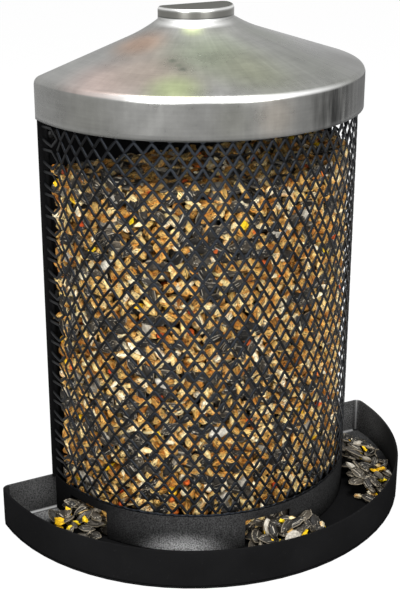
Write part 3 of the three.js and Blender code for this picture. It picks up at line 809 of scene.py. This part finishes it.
def core_mesh(sizes):
    """A half cylinder behind the seeds: an arc raised from the floor and closed at the rear."""
    # its finish is a painted shade, for the seed deep in the hopper
    end, count = math.radians(88), 49
    ring, _ = round_path(np.linspace(-end, end, count), sizes.core_radius)
    heights = [FILL_BOX[0].z, FILL_BOX[1].z - 6 * MM]
    points = np.stack([np.concatenate([ring, np.full((count, 1), z)], -1) for z in heights])
    ends = np.stack([np.arange(count), count + np.arange(count)[::-1]])
    sides = grid_faces(2, count, close_columns=True)
    return welded(new_mesh("seed_core", points.reshape(-1, 3), sides, ends))


# Materials


NOISE_RANGE = (0.3, 0.7)  # where a noise's values usually lie
GRAIN_RANGE = (0.2, 0.8)  # and those of the fine grain's height


def add(tree, kind, inputs=(), **settings):
    """Adds a shader node, sets it, and links or fills its inputs."""
    made = tree.nodes.new(kind)
    for key, value in settings.items():
        setattr(made, key, value)
    for key, value in dict(inputs).items():
        if isinstance(value, bpy.types.NodeSocket):
            tree.links.new(value, made.inputs[key])
        else:
            made.inputs[key].default_value = value
    return made


def ramp(tree, value, stops):
    """A colour ramp through the given (place, colour) pairs."""
    made = add(tree, "ShaderNodeValToRGB", {"Fac": value})
    band = made.color_ramp
    while len(band.elements) < len(stops):
        band.elements.new(0.5)
    for element, (place, shade) in zip(band.elements, stops):
        element.position = place
        element.color = (*shade, 1.0)
    return made.outputs["Color"]


def mixed(tree, amount, first, second, blend="MIX"):
    """One colour mixed with a second by an amount, or blended with it in another way."""
    first, second = [(*side, 1.0) if isinstance(side, tuple) else side for side in (first, second)]
    made = add(tree, "ShaderNodeMix", {0: amount, 6: first, 7: second}, data_type="RGBA",
               blend_type=blend)
    return made.outputs[2]


def stretched(tree, place, scale):
    """A place with each of its three numbers scaled."""
    return add(tree, "ShaderNodeMapping", {"Vector": place, "Scale": scale}).outputs["Vector"]


def noise(tree, place, scale, detail=3.0, roughness=0.55):
    """Soft noise whose lumps come as often in a metre as the scale says."""
    return add(tree, "ShaderNodeTexNoise", {"Vector": place, "Scale": scale, "Detail": detail,
                                            "Roughness": roughness}).outputs["Fac"]


def limits(tree, value, low, high, out_low=0.0, out_high=1.0):
    """A number taken from one range to another and kept within it."""
    return add(tree, "ShaderNodeMapRange", {"Value": value, "From Min": low, "From Max": high,
                                            "To Min": out_low, "To Max": out_high}).outputs["Result"]


def varied(tree, value, out_low, out_high):
    """A noise's usual range taken to another range."""
    return limits(tree, value, *NOISE_RANGE, out_low, out_high)


def number(tree, operation, *values):
    """The result of a sum on numbers that change over the surface."""
    return add(tree, "ShaderNodeMath", enumerate(values), operation=operation).outputs[0]


def product(tree, *values):
    """The product of numbers that change over the surface."""
    total = values[0]
    for value in values[1:]:
        total = number(tree, "MULTIPLY", total, value)
    return total


def vector(tree, operation, *values):
    """The outputs of a sum on places."""
    return add(tree, "ShaderNodeVectorMath", enumerate(values), operation=operation).outputs


def new_group(name, inputs, outputs):
    """A shader node group, and its sockets as seen from inside. Each input is given with its usual
    value, or with none where it is a place. Every output is a number."""
    group = bpy.data.node_groups.get(name)
    if group is not None:
        bpy.data.node_groups.remove(group)
    group = bpy.data.node_groups.new(name, "ShaderNodeTree")
    for label, value in inputs.items():
        kind = "NodeSocketVector" if value is None else "NodeSocketFloat"
        socket = group.interface.new_socket(label, in_out="INPUT", socket_type=kind)
        if value is not None:
            socket.default_value = value
    for label in outputs:
        group.interface.new_socket(label, in_out="OUTPUT", socket_type="NodeSocketFloat")
    entry = group.nodes.new("NodeGroupInput")
    leave = group.nodes.new("NodeGroupOutput")
    return group, entry.outputs, leave.inputs


def grain_group():
    """Fine grain: small even noise for the height, and sparse specks where a second noise peaks."""
    group, given, out = new_group("Fine grain", {"Place": None, "Grains per metre": 1500.0},
                                  ["Height", "Specks", "Drift"])
    fine = noise(group, given["Place"], given["Grains per metre"], 2.0)
    speck = add(group, "ShaderNodeTexVoronoi", {"Vector": given["Place"], "Scale": 330.0})
    drift = noise(group, given["Place"], 28.0, 4.0)
    group.links.new(fine, out["Height"])
    group.links.new(limits(group, speck.outputs["Distance"], 0.10, 0.04), out["Specks"])
    group.links.new(limits(group, drift, 0.35, 0.68), out["Drift"])
    return group


def spot_group():
    """A soft round patch: one at its centre and falling smoothly to zero at its reach."""
    group, given, out = new_group("Soft patch", {"Place": None, "Centre": None, "Reach": 0.02}, ["Mask"])
    far = vector(group, "DISTANCE", given["Place"], given["Centre"])["Value"]
    part = number(group, "DIVIDE", far, given["Reach"])
    smooth = add(group, "ShaderNodeMapRange", {"Value": part, "From Min": 1.0, "From Max": 0.0},
                 interpolation_type="SMOOTHERSTEP")
    group.links.new(smooth.outputs["Result"], out["Mask"])
    return group


def streak_group():
    """Streaks about an upright axis: one noise drawn out down the slope, one drawn out round it.
    Both are read at (turn times radius, radius, height), each stretched in its own way."""
    group, given, out = new_group("Turned streaks", {"Place": None, "Axis": None, "Radius": 0.06},
                                  ["Down", "Around"])
    moved = vector(group, "SUBTRACT", given["Place"], given["Axis"])["Vector"]
    parts = add(group, "ShaderNodeSeparateXYZ", {0: moved}).outputs
    angle = number(group, "ARCTAN2", parts["X"], product(group, parts["Y"], -1.0))
    around = product(group, angle, given["Radius"])
    flat = vector(group, "MULTIPLY", moved, (1, 1, 0))["Vector"]
    far = vector(group, "LENGTH", flat)["Value"]
    spot = add(group, "ShaderNodeCombineXYZ", {"X": around, "Y": far, "Z": parts["Z"]}).outputs[0]
    group.links.new(noise(group, stretched(group, spot, (1, 0.06, 0.05)), 420.0, 4.0, 0.6), out["Down"])
    group.links.new(noise(group, stretched(group, spot, (0.04, 1, 1)), 700.0, 3.0, 0.6), out["Around"])
    return group


GROUPS = {}


def grouped(tree, name, inputs):
    """The outputs of a node group."""
    return add(tree, "ShaderNodeGroup", inputs, node_tree=GROUPS[name]).outputs


def new_finish(name, **plain):
    """A material with a Principled BSDF whose plain sockets are set, and its node tree."""
    made = bpy.data.materials.get(name) or bpy.data.materials.new(name)
    made.use_nodes = True
    tree = made.node_tree
    tree.nodes.clear()
    shader = tree.nodes.new("ShaderNodeBsdfPrincipled")
    output = tree.nodes.new("ShaderNodeOutputMaterial")
    tree.links.new(shader.outputs[0], output.inputs["Surface"])
    for key, value in plain.items():
        shader.inputs[key.replace("_", " ")].default_value = value
    place = tree.nodes.new("ShaderNodeTexCoord").outputs["Object"]
    return made, tree, shader, place


def skin(tree, shader, shade, rough, relief, depth):
    """Feeds a finish's colour, its roughness and a relief of some depth into its shader."""
    bump = add(tree, "ShaderNodeBump", {"Height": relief, "Distance": depth, "Strength": 1.0})
    tree.links.new(shade, shader.inputs["Base Color"])
    tree.links.new(rough, shader.inputs["Roughness"])
    tree.links.new(bump.outputs["Normal"], shader.inputs["Normal"])


def scaled(tree, shade, amount):
    """A colour times a number that changes over the surface."""
    made = add(tree, "ShaderNodeVectorMath", {0: shade, 3: amount}, operation="SCALE")
    return made.outputs["Vector"]


def times(shade, amount):
    """A plain colour times a number or another colour."""
    return tuple(float(part) for part in np.array(shade) * amount)


def band_between(tree, value, low, high, soft):
    """One between two limits, falling to zero over a soft edge at each."""
    return product(tree, limits(tree, value, low - soft, low), limits(tree, value, high + soft, high))


def patch(tree, place, centre, reach):
    """A soft patch at a place given in millimetres."""
    spot = {"Place": place, "Centre": np.array(centre, float) * MM, "Reach": reach * MM}
    return grouped(tree, "Soft patch", spot)["Mask"]


STEEL_TINTS_AND_REFLECTIONS = [  # middle and reach in mm, colour: the zinc's own tints and painted reflections, darker on the right
    ((-66, 18, 240), 34, (0.36, 0.285, 0.26)), ((-38, 40, 253), 22, (0.33, 0.225, 0.165)),
    ((-45, 10, 247), 40, (0.29, 0.245, 0.21)), ((-14, 12, 250), 38, (0.245, 0.270, 0.205)),
    ((-44, -9, 241), 21, (0.32, 0.36, 0.20)), ((-12, 35, 257), 9, (0.36, 0.40, 0.24)),
    ((0, -8, 246), 36, (0.215, 0.225, 0.165)), ((34, -2, 244), 44, (0.19, 0.195, 0.175)),
    ((66, 14, 240), 34, (0.15, 0.15, 0.14)), ((30, 34, 254), 26, (0.20, 0.21, 0.18)),
    ((-33.4, 14.6, 249.2), 3.4, (0.17, 0.18, 0.14)), ((-32.6, 9.0, 247.7), 3, (0.19, 0.20, 0.155)),
    ((-32.8, 5.0, 246.6), 3.4, (0.16, 0.17, 0.135)),
]
SKIRT_PAINTED_REFLECTIONS = [  # middle and reach in mm, share of the steel's grey: painted reflections, darkest towards the skirt's right
    ((-3, -30, 228), 17, (1.0, 0.93, 0.86)), ((-23, -26.5, 228), 17, (0.64, 0.64, 0.61)),
    ((-77, 17, 228), 28, (0.70, 0.70, 0.68)), ((38, -22, 228), 39, (0.05, 0.05, 0.05)),
    ((66, 0, 228), 44, (0.085, 0.085, 0.082)),
]
COLLAR_HIGHLIGHT_AND_SHADE = [  # lower and upper edge from the lid's top and softness in mm, colour of each painted band of highlight and shade
    (-0.9, -0.6, 0.5, (0.62, 0.62, 0.61)),  # painted highlight round the edge
    (-4.4, -2.0, 0.5, (0.15, 0.148, 0.136)),  # painted shade on the upright wall
    (-4.9, -4.7, 0.4, (0.08, 0.08, 0.075)),  # shade at its foot
]
PAINTED_HIGHLIGHT, LID_TOP = (0.95, 0.95, 0.94), (0.052, 0.052, 0.048)


def lid_steel(finishes):
    """Galvanised steel: the grey, coloured patches on the slope, partly the zinc's tints and partly
    painted reflections, a skirt painted darker with darker painted reflections and paler streaks on
    them, streaks down and round the lid, painted shade at the outlines, and painted highlights at the
    fold, below the collar and round its edge, with painted shade on the collar's wall. The flat top is
    dull, and the skirt's right side half so."""
    made, tree, shader, place = new_finish("Galvanised steel", Specular_IOR_Level=0.0)
    base = tuple(finishes.steel)
    foot, top = LID_BOX[0].z, LID_BOX[1].z
    spot = add(tree, "ShaderNodeSeparateXYZ", {"Vector": place}).outputs
    height, aside = spot["Z"], spot["X"]
    cloudy = noise(tree, place, 36.0, 8.0, 0.68)
    streaks = grouped(tree, "Turned streaks", {"Place": place, "Axis": (0, AXIS_Y, 0)})
    shade = base
    # tints of the zinc and painted reflections on the slope
    for centre, reach, tint_and_light in STEEL_TINTS_AND_REFLECTIONS:
        shade = mixed(tree, patch(tree, place, centre, reach), shade, tint_and_light)
    # painted shade: the skirt painted darker than the slope above it
    skirt = limits(tree, height, foot + 18.5 * MM, foot + 17.9 * MM)
    shade = mixed(tree, skirt, shade, times(base, 0.80))
    # painted reflections on the skirt, darkest on its right
    for centre, reach, part in SKIRT_PAINTED_REFLECTIONS:
        mask = product(tree, skirt, patch(tree, place, centre, reach))
        shade = mixed(tree, mask, shade, times(base, part))
    # painted reflection: paler brushed streaks across the dark patch on the skirt's right
    reflection_streaks = product(tree, skirt, patch(tree, place, (37, -21, 228), 40),
                      limits(tree, streaks["Down"], 0.38, 0.70))
    shade = mixed(tree, reflection_streaks, shade, times(base, 0.62))
    grain = mixed(tree, limits(tree, aside, -20 * MM, 40 * MM),
                  varied(tree, streaks["Down"], 0.95, 1.05), varied(tree, streaks["Down"], 0.86, 1.14))
    tone = product(tree, varied(tree, cloudy, 0.80, 1.20), grain,
                   varied(tree, streaks["Around"], 0.95, 1.05))
    shade = scaled(tree, shade, tone)
    # painted shade: darker where the surface turns away from the eye
    edge = add(tree, "ShaderNodeLayerWeight", {"Blend": 0.35}).outputs["Facing"]
    shade = scaled(tree, shade, limits(tree, edge, 0.45, 0.95, 1.0, 0.22))
    # painted highlight along the fold above the skirt
    fold = product(tree, band_between(tree, height, foot + 18.7 * MM, foot + 19.1 * MM, 1.2 * MM),
                   limits(tree, aside, -80 * MM, -48 * MM), limits(tree, aside, 50 * MM, 6 * MM))
    shade = mixed(tree, fold, shade, PAINTED_HIGHLIGHT)
    # painted highlight in the hollow below the collar
    hollow = product(tree, band_between(tree, height, top - 7.6 * MM, top - 5.6 * MM, 1.2 * MM),
                     patch(tree, place, (-10, 36, 261), 28))
    shade = mixed(tree, hollow, shade, PAINTED_HIGHLIGHT)
    for low, high, soft, tint_and_light in COLLAR_HIGHLIGHT_AND_SHADE:
        mask = band_between(tree, height, top + low * MM, top + high * MM, soft * MM)
        shade = mixed(tree, mask, shade, tint_and_light)
    flat_top = limits(tree, height, top - 0.3 * MM, top - 0.05 * MM)
    shade = mixed(tree, flat_top, shade, LID_TOP)
    dull = product(tree, skirt, patch(tree, place, (66, 4, 228), 48))
    metal = product(tree, limits(tree, flat_top, 0, 1, 0.95, 0), limits(tree, dull, 0, 1, 1, 0.5))
    tree.links.new(metal, shader.inputs["Metallic"])
    skin(tree, shader, shade, varied(tree, cloudy, 0.24, 0.36), streaks["Down"], 0.04 * MM)
    return made


FOLD_HIGHLIGHT, SPECK = (0.30, 0.30, 0.30), (0.014, 0.014, 0.014)
# the tray wall's inner side, painted lighter than its outer side, as lit
TRAY_INSIDE_LIT = (0.014, 0.014, 0.014)


def black_coat(finishes, name, lit_inside=None, lit_patches=(), fold_highlights=()):
    """Powder coat: black with slow drift, faint specks and a fine orange-peel grain. Lit patches are
    painted highlights, soft and grey, and folds get painted highlights as bright lines where the sheet
    bends. On the tray's wall these are kept to its inner side, which is painted lighter than the outer
    side, as lit."""
    made, tree, shader, place = new_finish(name, Specular_IOR_Level=0.0)
    shade = tuple(finishes.coat)
    inner = lit_inside or shade
    grain = grouped(tree, "Fine grain", {"Place": place})
    # painted highlights: soft grey patches, grainy at their edge
    for (x, y, z), reach, tone, rise in lit_patches:
        soft = patch(tree, stretched(tree, place, (1, 1, rise)), (x, y, z * rise), reach)
        soft = product(tree, soft, limits(tree, grain["Height"], 0.38, 0.62, 0.25, 1.0))
        inner = mixed(tree, soft, inner, (tone, tone, tone))
    # painted highlight lines along the folds
    for keep, centre, reach in fold_highlights:
        line = patch(tree, stretched(tree, place, keep), centre, reach)
        inner = mixed(tree, line, inner, FOLD_HIGHLIGHT)
    # painted light: the inner side of the tray wall gets the lighter tone
    if lit_inside:
        middle = WALL_Y - sizes_of("tray").straight
        half, reach = TRAY_BOX[1].x, middle - TRAY_BOX[0].y
        even = add(tree, "ShaderNodeMapping", {"Vector": place, "Location": (0, -middle / reach, 0),
                                               "Scale": (1 / half, 1 / reach, 0)}).outputs["Vector"]
        far = vector(tree, "LENGTH", even)["Value"]
        shade = mixed(tree, limits(tree, far, 0.994, 0.991), shade, inner)
    else:
        shade = inner
    shade = scaled(tree, shade, limits(tree, grain["Drift"], 0, 1, 0.9, 1.25))
    shade = mixed(tree, grain["Specks"], shade, SPECK)
    rough = limits(tree, grain["Height"], *GRAIN_RANGE, 0.52, 0.68)
    skin(tree, shader, shade, rough, grain["Height"], 0.09 * MM)
    return made


def mesh_coat(finishes):
    """Blue-black coat, with a painted highlight where a strand faces the eye and painted shade, near
    black, at its edges.
    """
    made, tree, shader, place = new_finish("Blue-black coat", Specular_IOR_Level=0.1)
    base = tuple(finishes.strand)
    grain = grouped(tree, "Fine grain", {"Place": place, "Grains per metre": 2200.0})
    shade = mixed(tree, grain["Drift"], base, times(base, 1.5))
    # painted highlight along a strand's middle and painted shade at its edges, by how it faces the eye
    edge = add(tree, "ShaderNodeLayerWeight", {"Blend": 0.5}).outputs["Facing"]
    shade = scaled(tree, shade, limits(tree, edge, 0.01, 0.23, 1.0, 0.12))
    rough = limits(tree, grain["Height"], *GRAIN_RANGE, 0.36, 0.52)
    skin(tree, shader, shade, rough, grain["Height"], 0.06 * MM)
    return made


def rivet_steel(finishes):
    """Dark plain steel with a fine grain and a slow drift."""
    made, tree, shader, place = new_finish("Rivet steel", Metallic=0.8)
    grain = grouped(tree, "Fine grain", {"Place": place, "Grains per metre": 3000.0})
    base = tuple(finishes.rivet)
    shade = mixed(tree, grain["Drift"], base, times(base, 1.6))
    rough = limits(tree, grain["Height"], *GRAIN_RANGE, 0.3, 0.45)
    skin(tree, shader, shade, rough, grain["Height"], 0.04 * MM)
    return made


def seed_finish(name, tones, stripes=None, rim=None, roughness=0.6, bump=0.2 * MM, streaks_and_groove_shade=0.0,
                painted_side_shade=None):
    """A seed's skin: a tone for each seed, mottling across it, and a painted shade, orange, at its
    sides, a pale rim, stripes along it or dark streaks where it has any, the streaks partly its own and
    partly painted shade in its grooves. Its colour is scaled by its painted shade, darker for deeper
    seeds."""
    made, tree, shader, place = new_finish(name, Specular_IOR_Level=0.2)
    tone, painted_shade, husk = [add(tree, "ShaderNodeAttribute", attribute_name=key).outputs[socket]
                       for key, socket in (("tone", "Fac"), ("painted_shade", "Fac"), ("husk", "Vector"))]
    parts = add(tree, "ShaderNodeSeparateXYZ", {"Vector": husk}).outputs
    shade = ramp(tree, tone, tones)
    mottle = noise(tree, place, 640.0, 4.0)
    shade = scaled(tree, shade, limits(tree, mottle, 0.32, 0.68, 0.50, 1.28))
    lines = noise(tree, stretched(tree, husk, (0.4, 6.0, 6.0)), 1.7, 1.5)
    # painted shade, orange, towards the seed's sides
    if painted_side_shade:
        wide = number(tree, "ABSOLUTE", parts["Y"])
        shade = mixed(tree, limits(tree, wide, 0.16, 0.46), shade, painted_side_shade, "MULTIPLY")
    if stripes:
        pale, edge, soft = stripes
        shade = mixed(tree, limits(tree, lines, edge, edge + soft), shade, pale)
    # dark streaks along the husk: its own streaks, and painted shade in the grooves of its relief
    if streaks_and_groove_shade:
        shade = scaled(tree, shade, limits(tree, lines, 0.38, 0.47, 1 - streaks_and_groove_shade, 1.0))
    if rim:
        height = number(tree, "ABSOLUTE", parts["Z"])
        shade = mixed(tree, limits(tree, height, 0.12, 0.03), shade, rim)
    rough = varied(tree, mottle, roughness - 0.1, roughness + 0.1)
    skin(tree, shader, scaled(tree, shade, painted_shade), rough, lines, bump)
    return made


def all_finishes():
    """Every finish by its short name. A lit patch, a painted highlight, has a middle and a reach in mm,
    a brightness and a stretch in height. A fold's painted highlight has the axes across it, a middle and
    a reach in mm."""
    finishes = bpy.context.scene.feeder_finishes
    GROUPS["Fine grain"], GROUPS["Soft patch"] = grain_group(), spot_group()
    GROUPS["Turned streaks"] = streak_group()
    inner_rear, floor_top = WALL_Y / MM - 1.6, FLOOR_BOX[1].z / MM + 0.5
    return {
        "lid": lid_steel(finishes),
        "outer": black_coat(finishes, "Black coat"),
        # painted highlights on the tray, its rear wall, floor and band
        "tray": black_coat(
            finishes, "Tray wall coat", lit_inside=TRAY_INSIDE_LIT,
            lit_patches=[((116, 54, 12), 44, 0.120, 1)], fold_highlights=[((1, 1, 0), (112.9, inner_rear, 0), 0.9)]),
        "rear": black_coat(
            finishes, "Rear wall coat",
            lit_patches=[((-104, 57, 8), 60, 0.056, 1), ((108, 57, 6), 48, 0.130, 1)],
            fold_highlights=[((0, 1, 1), (0, inner_rear, floor_top), 1.1)]),
        "floor": black_coat(
            finishes, "Floor coat",
            lit_patches=[((-90, 56, 1), 21, 0.17, 1), ((104, 50, 1), 42, 0.065, 1)]),
        "band": black_coat(
            finishes, "Band coat",
            lit_patches=[((-38, -18, 6), 70, 0.050, 1), ((-44, -15.4, -1), 30, 0.95, 1.9),
                  ((36, -19, 12), 70, 0.026, 1)]),
        "mesh": mesh_coat(finishes),
        "rivet": rivet_steel(finishes),
        "Cracked grain": seed_finish(
            "Cracked grain",
            [(0.0, (0.36, 0.16, 0.03)), (0.25, (0.60, 0.33, 0.08)), (0.6, (0.80, 0.53, 0.17)),
             (0.88, (0.92, 0.73, 0.36)), (1.0, (0.94, 0.85, 0.64))],
            streaks_and_groove_shade=0.88, painted_side_shade=(0.80, 0.50, 0.22)),
        "Sunflower husk": seed_finish(
            "Sunflower husk",
            [(0.0, (0.010, 0.009, 0.008)), (0.5, (0.026, 0.023, 0.019)), (0.9, (0.058, 0.048, 0.035)),
             (0.95, (0.40, 0.36, 0.29)), (1.0, (0.62, 0.58, 0.50))],
            stripes=((0.42, 0.38, 0.31), 0.60, 0.06), rim=(0.26, 0.22, 0.16), roughness=0.55,
            bump=0.25 * MM),
        "Oat husk": seed_finish(
            "Oat husk",
            [(0.0, (0.62, 0.43, 0.13)), (0.5, (0.84, 0.68, 0.33)), (1.0, (0.94, 0.88, 0.68))],
            stripes=((0.20, 0.12, 0.05), 0.62, 0.08), roughness=0.55, painted_side_shade=(0.85, 0.6, 0.35)),
        "Maize": seed_finish(
            "Maize", [(0.0, (0.88, 0.48, 0.01)), (1.0, (1.0, 0.72, 0.02))], roughness=0.4),
        "Milo": seed_finish(
            "Milo", [(0.0, (0.55, 0.05, 0.01)), (1.0, (0.80, 0.20, 0.03))], roughness=0.5),
        # painted shade: the dark core stands in for the shaded seed deep behind the front seeds
        "core": seed_finish("Seed core shade", [(0.0, (0.016, 0.010, 0.006)), (1.0, (0.024, 0.016, 0.010))]),
    }


FINISHES = {}


def finish_named(name):
    """A finish by its short name. The first call makes them all."""
    if not FINISHES:
        FINISHES.update(all_finishes())
    return FINISHES[name]


# Operators


def sizes_of(name):
    """The scene's sizes or colours of one part of the feeder."""
    return getattr(bpy.context.scene, "feeder_" + name)


class FEEDER_OT_tray(bpy.types.Operator):
    """Adds the tray's curved front wall and its straight rear wall"""
    bl_idname = "feeder.tray"
    bl_label = "Tray"

    def execute(self, context):
        sizes = sizes_of("tray")
        placed("tray_front_wall_sheet", tray_front_mesh(sizes), "feeder",
               finish_named("tray"), ["tray_front_wall"])
        placed("tray_back_wall_sheet", tray_back_mesh(sizes), "feeder",
               finish_named("rear"), ["tray_back_wall"])
        return {"FINISHED"}


class FEEDER_OT_hopper(bpy.types.Operator):
    """Adds the base band with its ports and the hoop round the mesh's top"""
    bl_idname = "feeder.hopper"
    bl_label = "Band and hoop"

    def execute(self, context):
        placed("base_band_sheet", band_mesh(sizes_of("hopper")), "feeder",
               finish_named("band"), ["base_band"])
        placed("mesh_top_hoop_sheet", hoop_mesh(), "feeder",
               finish_named("outer"), ["mesh_top_hoop"])
        return {"FINISHED"}


class FEEDER_OT_mesh(bpy.types.Operator):
    """Adds the expanded mesh as zigzag strands that run across the sheet"""
    bl_idname = "feeder.mesh"
    bl_label = "Mesh"

    def execute(self, context):
        mesh = mesh_sheet(sizes_of("mesh"), sizes_of("hopper").radius)
        placed("expanded_mesh", mesh, "feeder", finish_named("mesh"), PANELS, sharp=75)
        return {"FINISHED"}


class FEEDER_OT_seed(bpy.types.Operator):
    """Adds the seed in the hopper and the three piles in the tray"""
    bl_idname = "feeder.seed"
    bl_label = "Seed"

    def execute(self, context):
        sizes, hopper = sizes_of("seed"), sizes_of("hopper")
        placed("seed_core", core_mesh(sizes), "feeder", finish_named("core"), ["seed_fill"])
        spots = hopper_places(sizes, hopper.radius, hopper.port_turn)
        self.pour("hopper", spots, HOPPER_MIX, 3, ["seed_fill"])
        for i, (name, side, heap, ends) in enumerate(PILES):
            spots = pile_places(sizes, hopper.radius, side * hopper.port_turn, heap, ends, 11 + i)
            self.pour("pile_" + name, spots, PILE_MIX, 21 + i, ["seed_pile_" + name])
        return {"FINISHED"}

    def pour(self, where, spots, mix, seed, replaced):
        """Draws a kind for each place and adds one mesh for each kind. The hopper's seeds stand
        back by half their thickness."""
        places, normals, painted_shades = spots
        kinds = seed_kinds(places, mix, seed)
        for k, kind in enumerate(KINDS):
            mine = kinds == k
            if not mine.any():
                continue
            rng = np.random.default_rng(RNG_SEED + 100 * seed + k)
            back = kind.size[2] * 0.5 if where == "hopper" else 0.0
            name = f"{kind.name}_{where}"
            middles = places[mine] - normals[mine] * back
            mesh = seed_mesh(name, kind, middles, normals[mine], painted_shades[mine], rng)
            placed(name, mesh, "feeder", finish_named(kind.finish), replaced,
                   sharp=kind.sharp)


class FEEDER_OT_lid(bpy.types.Operator):
    """Adds the pressed steel lid and its rear panel"""
    bl_idname = "feeder.lid"
    bl_label = "Lid"

    def execute(self, context):
        sizes = sizes_of("lid")
        shell = placed("lid_shell_sheet", lid_mesh(sizes), "lid",
                       finish_named("lid"), ["lid_shell"], sharp=50)
        self.thicken(shell, sizes.sheet)
        panel = placed("lid_back_sheet", lid_back_mesh(sizes), "lid",
                       finish_named("lid"), ["lid_back_panel"])
        self.thicken(panel, sizes.sheet)
        return {"FINISHED"}

    def thicken(self, obj, thickness):
        """Adds a sheet's thickness behind its outer face."""
        solid = obj.modifiers.new("Sheet", "SOLIDIFY")
        solid.thickness = thickness
        solid.offset = -1


class FEEDER_OT_plain_nodes(bpy.types.Operator):
    """Gives the carried-over CAD nodes their finishes"""
    bl_idname = "feeder.plain_nodes"
    bl_label = "Plate, angles, rivets"

    def execute(self, context):
        for name, obj in frame["nodes"].items():
            if obj.hide_render:
                continue
            kind = "rivet" if "rivet" in name else "floor" if name == "tray_floor" else "outer"
            for slot in obj.material_slots:
                slot.material = finish_named(kind)
        return {"FINISHED"}


LAMPS = [  # name, place, aim, power in watts, width
    ("Top lamp", (-0.10, -0.14, 1.10), (0, 0.03, 0.2), 22.0, 0.7),
    ("Left lamp", (-1.0, -0.8, 0.55), (0, 0.03, 0.12), 13.0, 0.6),
    ("Front lamp", (0.25, -1.3, 0.6), (0, 0.03, 0.12), 14.0, 0.7),
]
FLOOR_REACH, FLOOR_LEVEL = 3.0, -0.0003  # the floor lies just under the feeder
WHITE = (1, 1, 1, 1)


class FEEDER_OT_stage(bpy.types.Operator):
    """Adds the floor, the lamps, the world and the camera"""
    bl_idname = "feeder.stage"
    bl_label = "Stage"

    def execute(self, context):
        scene = context.scene
        scene.view_settings.view_transform = "Standard"
        self.add_camera(scene)
        self.add_floor(scene)
        self.add_world(scene)
        for name, place, aim, power, width in LAMPS:
            self.add_lamp(scene, name, Vector(place), Vector(aim), power, width)
        return {"FINISHED"}

    def add_camera(self, scene):
        """The camera that the feeder was photographed with, as fitted to its outlines."""
        data = bpy.data.cameras.new("Camera")
        camera = bpy.data.objects.new("Camera", data)
        scene.collection.objects.link(camera)
        camera.location = (-0.2999, -0.5146, 0.3599)
        look = Vector((0.4344, 0.8283, -0.3538))
        camera.rotation_euler = look.to_track_quat("-Z", "Y").to_euler()
        data.lens, data.sensor_width = 77.17, 36.0
        data.shift_x, data.shift_y = 0.01177, -0.0140
        data.clip_start = 0.01
        scene.camera = camera

    def add_lamp(self, scene, name, place, aim, power, width):
        """A round soft lamp that faces its aim."""
        data = bpy.data.lights.new(name, "AREA")
        data.energy, data.size, data.shape = power, width, "DISK"
        lamp = bpy.data.objects.new(name, data)
        scene.collection.objects.link(lamp)
        lamp.location = place
        lamp.rotation_euler = (aim - place).to_track_quat("-Z", "Y").to_euler()

    def shown(self, tree):
        """One where a ray comes from the camera, a gloss or through glass."""
        path = tree.nodes.new("ShaderNodeLightPath").outputs
        either = number(tree, "MAXIMUM", path["Is Camera Ray"], path["Is Glossy Ray"])
        return number(tree, "MAXIMUM", either, path["Is Transmission Ray"])

    def add_floor(self, scene):
        """A wide square. The camera sees it almost white, and other rays a plain matt grey."""
        corners = np.array([[-1, -1, 0], [1, -1, 0], [1, 1, 0], [-1, 1, 0]]) * FLOOR_REACH
        mesh = new_mesh("floor", corners + [0, 0, FLOOR_LEVEL], np.array([[0, 1, 2, 3]]))
        floor = bpy.data.objects.new("floor", mesh)
        scene.collection.objects.link(floor)
        made = bpy.data.materials.new("White floor")
        made.use_nodes = True
        tree = made.node_tree
        tree.nodes.clear()
        matt = add(tree, "ShaderNodeBsdfDiffuse", {"Color": (0.8, 0.8, 0.8, 1)})
        glow = add(tree, "ShaderNodeEmission", {"Color": WHITE, "Strength": 1.03})
        part = product(tree, self.shown(tree), 0.93)
        both = add(tree, "ShaderNodeMixShader", {0: part, 1: matt.outputs[0], 2: glow.outputs[0]})
        output = tree.nodes.new("ShaderNodeOutputMaterial")
        tree.links.new(both.outputs[0], output.inputs["Surface"])
        mesh.materials.append(made)

    def add_world(self, scene):
        """White air for the camera and for gloss, and a dimmer light on everything else."""
        world = bpy.data.worlds.new("Studio")
        scene.world = world
        world.use_nodes = True
        tree = world.node_tree
        tree.nodes.clear()
        level = limits(tree, self.shown(tree), 0.0, 1.0, 0.38, 1.0)
        air = add(tree, "ShaderNodeBackground", {"Color": WHITE, "Strength": level})
        output = tree.nodes.new("ShaderNodeOutputWorld")
        tree.links.new(air.outputs[0], output.inputs["Surface"])


class FEEDER_PT_panel(bpy.types.Panel):
    """Lists the feeder's sizes and the buttons that add its pieces"""
    bl_label = "Seed Feeder"
    bl_idname = "FEEDER_PT_panel"
    bl_space_type = "VIEW_3D"
    bl_region_type = "UI"
    bl_category = "Feeder"

    def draw(self, context):
        for label, _ in GROUPS_OF_SIZES:
            box = self.layout.box()
            box.label(text=label.capitalize())
            group = sizes_of(label)
            for key in group.__annotations__:
                box.prop(group, key)
        for operator in OPERATORS:
            self.layout.operator(operator.bl_idname)


GROUPS_OF_SIZES = [("hopper", HopperSizes), ("mesh", MeshSizes), ("tray", TraySizes),
                   ("lid", LidSizes), ("seed", SeedSizes), ("finishes", Finishes)]
OPERATORS = [FEEDER_OT_tray, FEEDER_OT_hopper, FEEDER_OT_mesh, FEEDER_OT_seed, FEEDER_OT_lid,
             FEEDER_OT_plain_nodes, FEEDER_OT_stage]
CLASSES = [kind for _, kind in GROUPS_OF_SIZES] + OPERATORS + [FEEDER_PT_panel]


def register():
    """Makes the classes known and gives the scene its sizes."""
    for kind in CLASSES:
        bpy.utils.register_class(kind)
    for name, kind in GROUPS_OF_SIZES:
        setattr(bpy.types.Scene, "feeder_" + name, bpy.props.PointerProperty(type=kind))


def unregister():
    """Takes both away again."""
    for name, _ in GROUPS_OF_SIZES:
        delattr(bpy.types.Scene, "feeder_" + name)
    for kind in reversed(CLASSES):
        bpy.utils.unregister_class(kind)


def main():
    """Adds every piece and the stage."""
    register()
    for kind in OPERATORS:
        group, name = kind.bl_idname.split(".")
        getattr(getattr(bpy.ops, group), name)()


if __name__ == "__main__":
    main()
